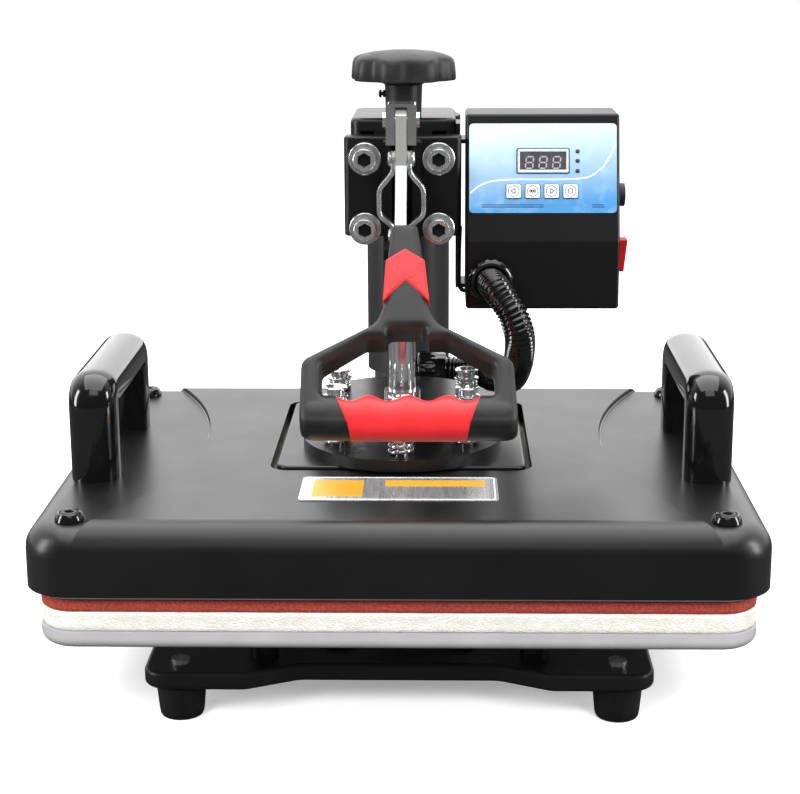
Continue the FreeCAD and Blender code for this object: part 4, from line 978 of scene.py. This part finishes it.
# ---------------------------------------------------------------- control panel graphics
INWARD = Vector(next(j["axis"] for j in frame["joints"] if j["name"] == "down_press")).normalized()
OUT = -INWARD
UP = Vector((0, OUT.z, -OUT.y))
FILM_LOW, FILM_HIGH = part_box("panel_overlay")
FILM_THICK = 0.6 * MM


def panel(x, up, out):
    """A point of the printed film: from its left edge, up from its lower edge, out, in millimetres."""
    lower_edge = Vector((FILM_LOW.x, FILM_LOW.y, FILM_LOW.z + OUT.z * FILM_THICK))
    return lower_edge + Vector((x * MM, 0, 0)) + UP * up * MM + OUT * out * MM


def stands(node):
    """How far a CAD node stands out of the printed film, in millimetres."""
    shape = NODES[node]
    return max((shape.matrix_world @ v.co - panel(0, 0, 0)).dot(OUT) for v in shape.data.vertices) / MM


def flat(outline, out, thick=0.25):
    """A thin raised shape on the panel, from an outline in panel millimetres."""
    rings = [[panel(x, y, out + h) for x, y in outline] for h in (0, thick)]
    return loft(rings)


def ribbon(line, wide, out, thick=0.2):
    """A thin raised line on the panel."""
    left, right = [], []
    for i, p in enumerate(line):
        a, b = Vector(line[max(i - 1, 0)]), Vector(line[min(i + 1, len(line) - 1)])
        side = (b - a).normalized()
        side = Vector((-side.y, side.x)) * wide / 2
        left.append(Vector(p) + side)
        right.append(Vector(p) - side)
    rings = []
    for a, b in zip(left, right):
        rings.append([panel(a.x, a.y, out), panel(b.x, b.y, out), panel(b.x, b.y, out + thick),
                      panel(a.x, a.y, out + thick)])
    return loft(rings)


def ring_shape(cx, cy, outer, inner, out, thick=0.2):
    """A thin raised ring on the panel."""
    rings = []
    for radius, height in ((outer, out), (outer, out + thick), (inner, out + thick), (inner, out)):
        rings.append([panel(cx + p.x, cy + p.y, height) for p in circle(radius, 32)])
    return loft(rings, loop=True)


def panel_print():
    """The white curve and the dark double rules printed on the film."""
    curve = [(0.6, 12), (8, 17.3), (22.2, 20), (65.4, 20.6), (78, 26), (84, 34), (87.4, 41.8)]
    piece("panel_curve", [ribbon(spline(curve, 10), 0.8, 0.0)], "swing_arm", "print_white")
    rules = []
    for height in (4.9, 3.6):
        for begin, end in ((7.4, 44.4), (73.4, 80.8)):
            rules.append(ribbon([(begin, height), (end, height)], 0.55, 0.0))
    piece("panel_rules", rules, "swing_arm", "print_blue")


def framed(cx, cy, steps):
    """A raised rectangular frame. Each step is its half width, half height, corner and height."""
    rings = []
    for half_x, half_y, corner, height in steps:
        outline = rounded_rectangle(half_x, half_y, corner, 2, 5)
        rings.append([panel(cx + p.x, cy + p.y, height) for p in outline])
    return loft(rings, loop=True)


def display():
    """A pale bezel with a dark outline round the window, and three digits with every segment drawn."""
    top = stands("display_window")
    cx, cy = (28.6 + 59.7) / 2, (24.1 + 38.7) / 2
    outline = framed(cx, cy, [(15.9, 7.8, 1.2, 0.0), (15.8, 7.7, 1.1, top + 0.1),
                              (15.3, 7.2, 0.8, top + 0.1), (15.3, 7.2, 0.8, 0.0)])
    piece("display_outline", [outline], "swing_arm", "print_black")
    bezel = framed(cx, cy, [(15.3, 7.2, 0.8, 0.0), (15.2, 7.1, 0.8, top + 0.25),
                            (14.1, 5.7, 0.4, top + 0.25), (13.8, 5.4, 0.4, top - 0.05)])
    piece("display_bezel", [bezel], "swing_arm", "bezel_grey")
    wide, tall, bar, slant = 4.3, 7.0, 0.42, 0.1
    strokes = []
    for across in (0, 1):
        for row in (0, 1):
            strokes.append(((across * wide, row * tall / 2), (across * wide, (row + 1) * tall / 2)))
    strokes += [((0, row * tall / 2), (wide, row * tall / 2)) for row in range(3)]
    parts = []
    for k in range(3):
        left, foot = cx - 10.6 + k * 8.1, cy - 4.6
        for begin, end in strokes:
            a, b = Vector(begin), Vector(end)
            way = (b - a).normalized()
            side = Vector((-way.y, way.x)) * bar
            a, b = a + way * 0.3, b - way * 0.3
            outline = [a, a + way * bar + side, b - way * bar + side, b, b - way * bar - side,
                       a + way * bar - side]
            outline = [(left + p.x + p.y * slant, foot + p.y) for p in outline]
            parts.append(flat(outline, top, 0.12))
    piece("digit_segments", parts, "swing_arm", "segment_grey")


def lamps():
    """Three small indicator lamps beside the window."""
    lenses = []
    for height in (37.1, 31.4, 25.3):
        dome = [(1.35, -0.3), (1.35, 0.3), (1.1, 0.75), (0.6, 1.0), (0.05, 1.08)]
        lenses.append(turned(dome, 24, panel(64.8, height, 0), OUT))
    piece("panel_lamps", lenses, "swing_arm", "lamp_dark")


def button_caps():
    """A white cap with a dark edge on each key, and a ring with a plain sign in line on it."""
    signs = {
        "down": [[(-1.7, 0), (0.9, 1.5), (0.9, -1.5)]],
        "mode": [[(-1.7, -0.7), (-0.8, -0.7), (-0.8, 0.7), (-1.7, 0.7)],
                 [(-0.45, -0.7), (0.45, -0.7), (0.45, 0.7), (-0.45, 0.7)],
                 [(0.8, -0.7), (1.7, -0.7), (1.7, 0.7), (0.8, 0.7)]],
        "up": [[(1.7, 0), (-0.9, -1.5), (-0.9, 1.5)]],
        "set": [[(-1.25, -1.25), (1.25, -1.25), (1.25, 1.25), (-1.25, 1.25)]],
    }
    corners = [(-4.4, -4.2), (4.4, -4.2), (4.4, 4.2), (-4.4, 4.2)]
    rise = 13.0
    for (name, shapes), across in zip(signs.items(), (26.5, 37.9, 49.2, 60.5)):
        top = stands(f"button_{name}")
        face = top + 0.22
        outline = rounded([(across + x, rise + y, 0.5) for x, y in corners], 3)
        cap = flat(outline, top, 0.22)
        piece(f"button_cap_{name}", [cap], f"{name}_button", "button_white")
        edge = framed(across, rise, [(4.55, 4.35, 0.6, top), (4.5, 4.3, 0.6, face + 0.03),
                                     (4.2, 4.0, 0.5, face + 0.03), (4.2, 4.0, 0.5, top)])
        parts = [edge, ring_shape(across, rise, 3.4, 2.95, face, 0.08)]
        for shape in shapes:
            loop = [(across + x, rise + y) for x, y in shape + shape[:1]]
            for a, b in zip(loop, loop[1:]):
                parts.append(ribbon([a, b], 0.55, face, 0.08))
        piece(f"button_icon_{name}", parts, f"{name}_button", "print_black")


# ---------------------------------------------------------------- label and rod
def rating_label():
    """A silver foil label with a pale frame, in front of the flange on the cover."""
    top, front, back = 123.4, -110, -65.5
    centre = Vector((0, PRESS_Y + (front + back) / 2 * MM, top * MM))
    foil = plate([rounded_rectangle(55, 22.2, 3, 2, 6)], 0.5, 0.12)
    lift = Matrix.Translation(centre + Vector((0, 0, 0.25 * MM)))
    piece("foil_label", [parts_of(foil, lift)], "platen", "label_silver")
    frame_line = plate([rounded_rectangle(53.6, 20.8, 2.4, 2, 6),
                        rounded_rectangle(52.8, 20, 1.8, 2, 6)], 0.2, 0.05)
    lift = Matrix.Translation(centre + Vector((0, 0, 0.55 * MM)))
    piece("foil_label_frame", [parts_of(frame_line, lift)], "platen", "print_white")


def label_blocks():
    """Plain amber fields, with nothing written in them."""
    parts = []
    for left, right, low_y, high_y in ((-48, -20, -15, 15), (-8, 48, 4, 15)):
        corners = [(left, low_y, 1), (right, low_y, 1), (right, high_y, 1), (left, high_y, 1)]
        field = plate([rounded(corners, 3)], 0.2, 0.05)
        lift = Matrix.Translation(Vector((0, PRESS_Y - 87.75 * MM, 123.95 * MM)))
        parts.append(parts_of(field, lift))
    piece("foil_label_fields", parts, "platen", "amber_print")


def cover_seams():
    """A fine bead along the foot of each curved edge of the cover's raised middle."""
    radius, across, along, foot = 302.2, 423, 10, 120.8
    parts = []
    for sign in (1, -1):
        route = []
        for k in range(61):
            y = -143 + 292 * k / 60
            x = sign * (across - math.sqrt(radius ** 2 - (y - along) ** 2))
            route.append(Vector((x, y + PRESS_Y / MM, foot)) * MM)
        parts.append(loft(tube(route, circle(0.4 * MM, 10))))
    piece("cover_seams", parts, "platen", "gloss_black")


def stay_rod():
    """A thin black rod that comes down beside the control case and bends in under it."""
    route = [(34.6, 36, 252), (34.2, 36, 240), (34.0, 36, 226), (34.1, 36, 217), (35.6, 36, 213),
             (38.6, 36, 212)]
    path = spline([Vector((x, y + PRESS_Y / MM, z)) * MM for x, y, z in route], 8)
    rod = loft(tube(path, circle(1.3 * MM, 16)))
    piece("stay_rod", [rod], "swing_arm", "black_paint")


soft_sheets()
rubber_feet()
grab_bars()
knob()
yoke()
grip()
band()
toggle_links()
bracket_screws()
corner_screws()
flange_spools()
flange_coils()
glands()
cable_guard()
panel_print()
display()
lamps()
button_caps()
rating_label()
label_blocks()
cover_seams()
stay_rod()


# ---------------------------------------------------------------- studio
def floor():
    """A wide pale floor."""
    half = 60.0
    corners = [(-half, -half, 0), (half, -half, 0), (half, half, 0), (-half, half, 0)]
    mesh = joined("floor", [(corners, [(0, 1, 2, 3)])])
    made = added("floor", mesh)
    paper = Finish("floor_paper", colour=(0.06, 0.06, 0.06), rough=0.9, specular=0.0)
    paper.blotch(2000, (0.065, 0.065, 0.065))
    # Only the camera sees the paper white and lifted; the machine sees it dim
    seen = paper.node("ShaderNodeLightPath").outputs["Is Camera Ray"]
    paper.tint(seen, (0.93, 0.93, 0.93))
    glow = paper.ramp(seen, 0, 1, 0.0, 0.32)
    paper.link(glow, paper.shader.inputs["Emission Strength"])
    paper.shader.inputs["Emission Color"].default_value = (1, 1, 1, 1)
    mesh.materials.append(paper.material)


def softbox(name, place, target, wide, tall, power, mirrored=True):
    """A rectangular lamp. One that isn't mirrored gives light but no reflection of itself."""
    light = bpy.data.lights.new(name, "AREA")
    light.shape = "RECTANGLE"
    light.size, light.size_y = wide, tall
    light.energy = power
    made = added(name, light)
    made.location = place
    made.rotation_euler = (Vector(target) - Vector(place)).to_track_quat("-Z", "Y").to_euler()
    made.visible_glossy = mirrored


def daylight():
    """White for the camera. For everything else bright above and behind, dimmer in front."""
    world = bpy.data.worlds.new("studio")
    bpy.context.scene.world = world
    world.use_nodes = True
    tree = world.node_tree
    surface = tree.nodes["Background"]
    place = tree.nodes.new("ShaderNodeTexCoord")
    split = tree.nodes.new("ShaderNodeSeparateXYZ")
    tree.links.new(place.outputs["Generated"], split.inputs[0])
    weigh = tree.nodes.new("ShaderNodeMath")
    weigh.operation = "MULTIPLY_ADD"
    tree.links.new(split.outputs["Z"], weigh.inputs[0])
    weigh.inputs[1].default_value = 0.35
    tree.links.new(split.outputs["Y"], weigh.inputs[2])
    share = tree.nodes.new("ShaderNodeMapRange")
    share.interpolation_type = "SMOOTHSTEP"
    for key, value in zip(("From Min", "From Max", "To Min", "To Max"), (-0.08, 0.95, 0.09, 1.75)):
        share.inputs[key].default_value = value
    tree.links.new(weigh.outputs[0], share.inputs["Value"])
    path = tree.nodes.new("ShaderNodeLightPath")
    seen = tree.nodes.new("ShaderNodeMath")
    seen.operation = "MAXIMUM"
    tree.links.new(share.outputs[0], seen.inputs[0])
    tree.links.new(path.outputs["Is Camera Ray"], seen.inputs[1])
    tree.links.new(seen.outputs[0], surface.inputs["Strength"])
    surface.inputs["Color"].default_value = (1, 1, 1, 1)


def camera():
    """The operator's view: in front, a little above and to the right."""
    yaw, pitch, roll = math.radians(1.4), math.radians(-14.28), math.radians(-0.26)
    ahead = Vector((-math.sin(yaw) * math.cos(pitch), math.cos(yaw) * math.cos(pitch), math.sin(pitch)))
    right = Vector((math.cos(yaw), math.sin(yaw), 0))
    up = right.cross(ahead)
    right, up = (right * math.cos(roll) + up * math.sin(roll),
                 up * math.cos(roll) - right * math.sin(roll))
    lens = bpy.data.cameras.new("camera")
    lens.lens = 81.675
    lens.sensor_width = 36
    lens.clip_start, lens.clip_end = 0.05, 200
    made = added("camera", lens)
    turn = Matrix((right, up, -ahead)).transposed().to_4x4()
    made.matrix_world = Matrix.Translation((0.0244, PRESS_Y - 1.0562, 0.4230)) @ turn
    bpy.context.scene.camera = made


floor()
daylight()
softbox("top_light", (0.0, 0.0, 1.9), (0, 0, 0.15), 2.2, 2.2, 34)
softbox("left_strip", (-1.5, -0.5, 0.6), (0, 0, 0.15), 0.3, 1.1, 13)
softbox("right_strip", (1.5, -0.4, 0.6), (0, 0, 0.15), 0.3, 1.1, 13)
softbox("front_left", (-0.9, -1.9, 1.35), (0, 0, 0.15), 0.8, 0.8, 38, mirrored=False)
softbox("front_right", (1.0, -1.9, 1.35), (0, 0, 0.15), 0.8, 0.8, 34, mirrored=False)
softbox("upper_front", (0.1, -1.7, 2.1), (0, 0, 0.2), 1.4, 0.9, 6)
camera()
bpy.context.scene.view_settings.view_transform = "Standard"
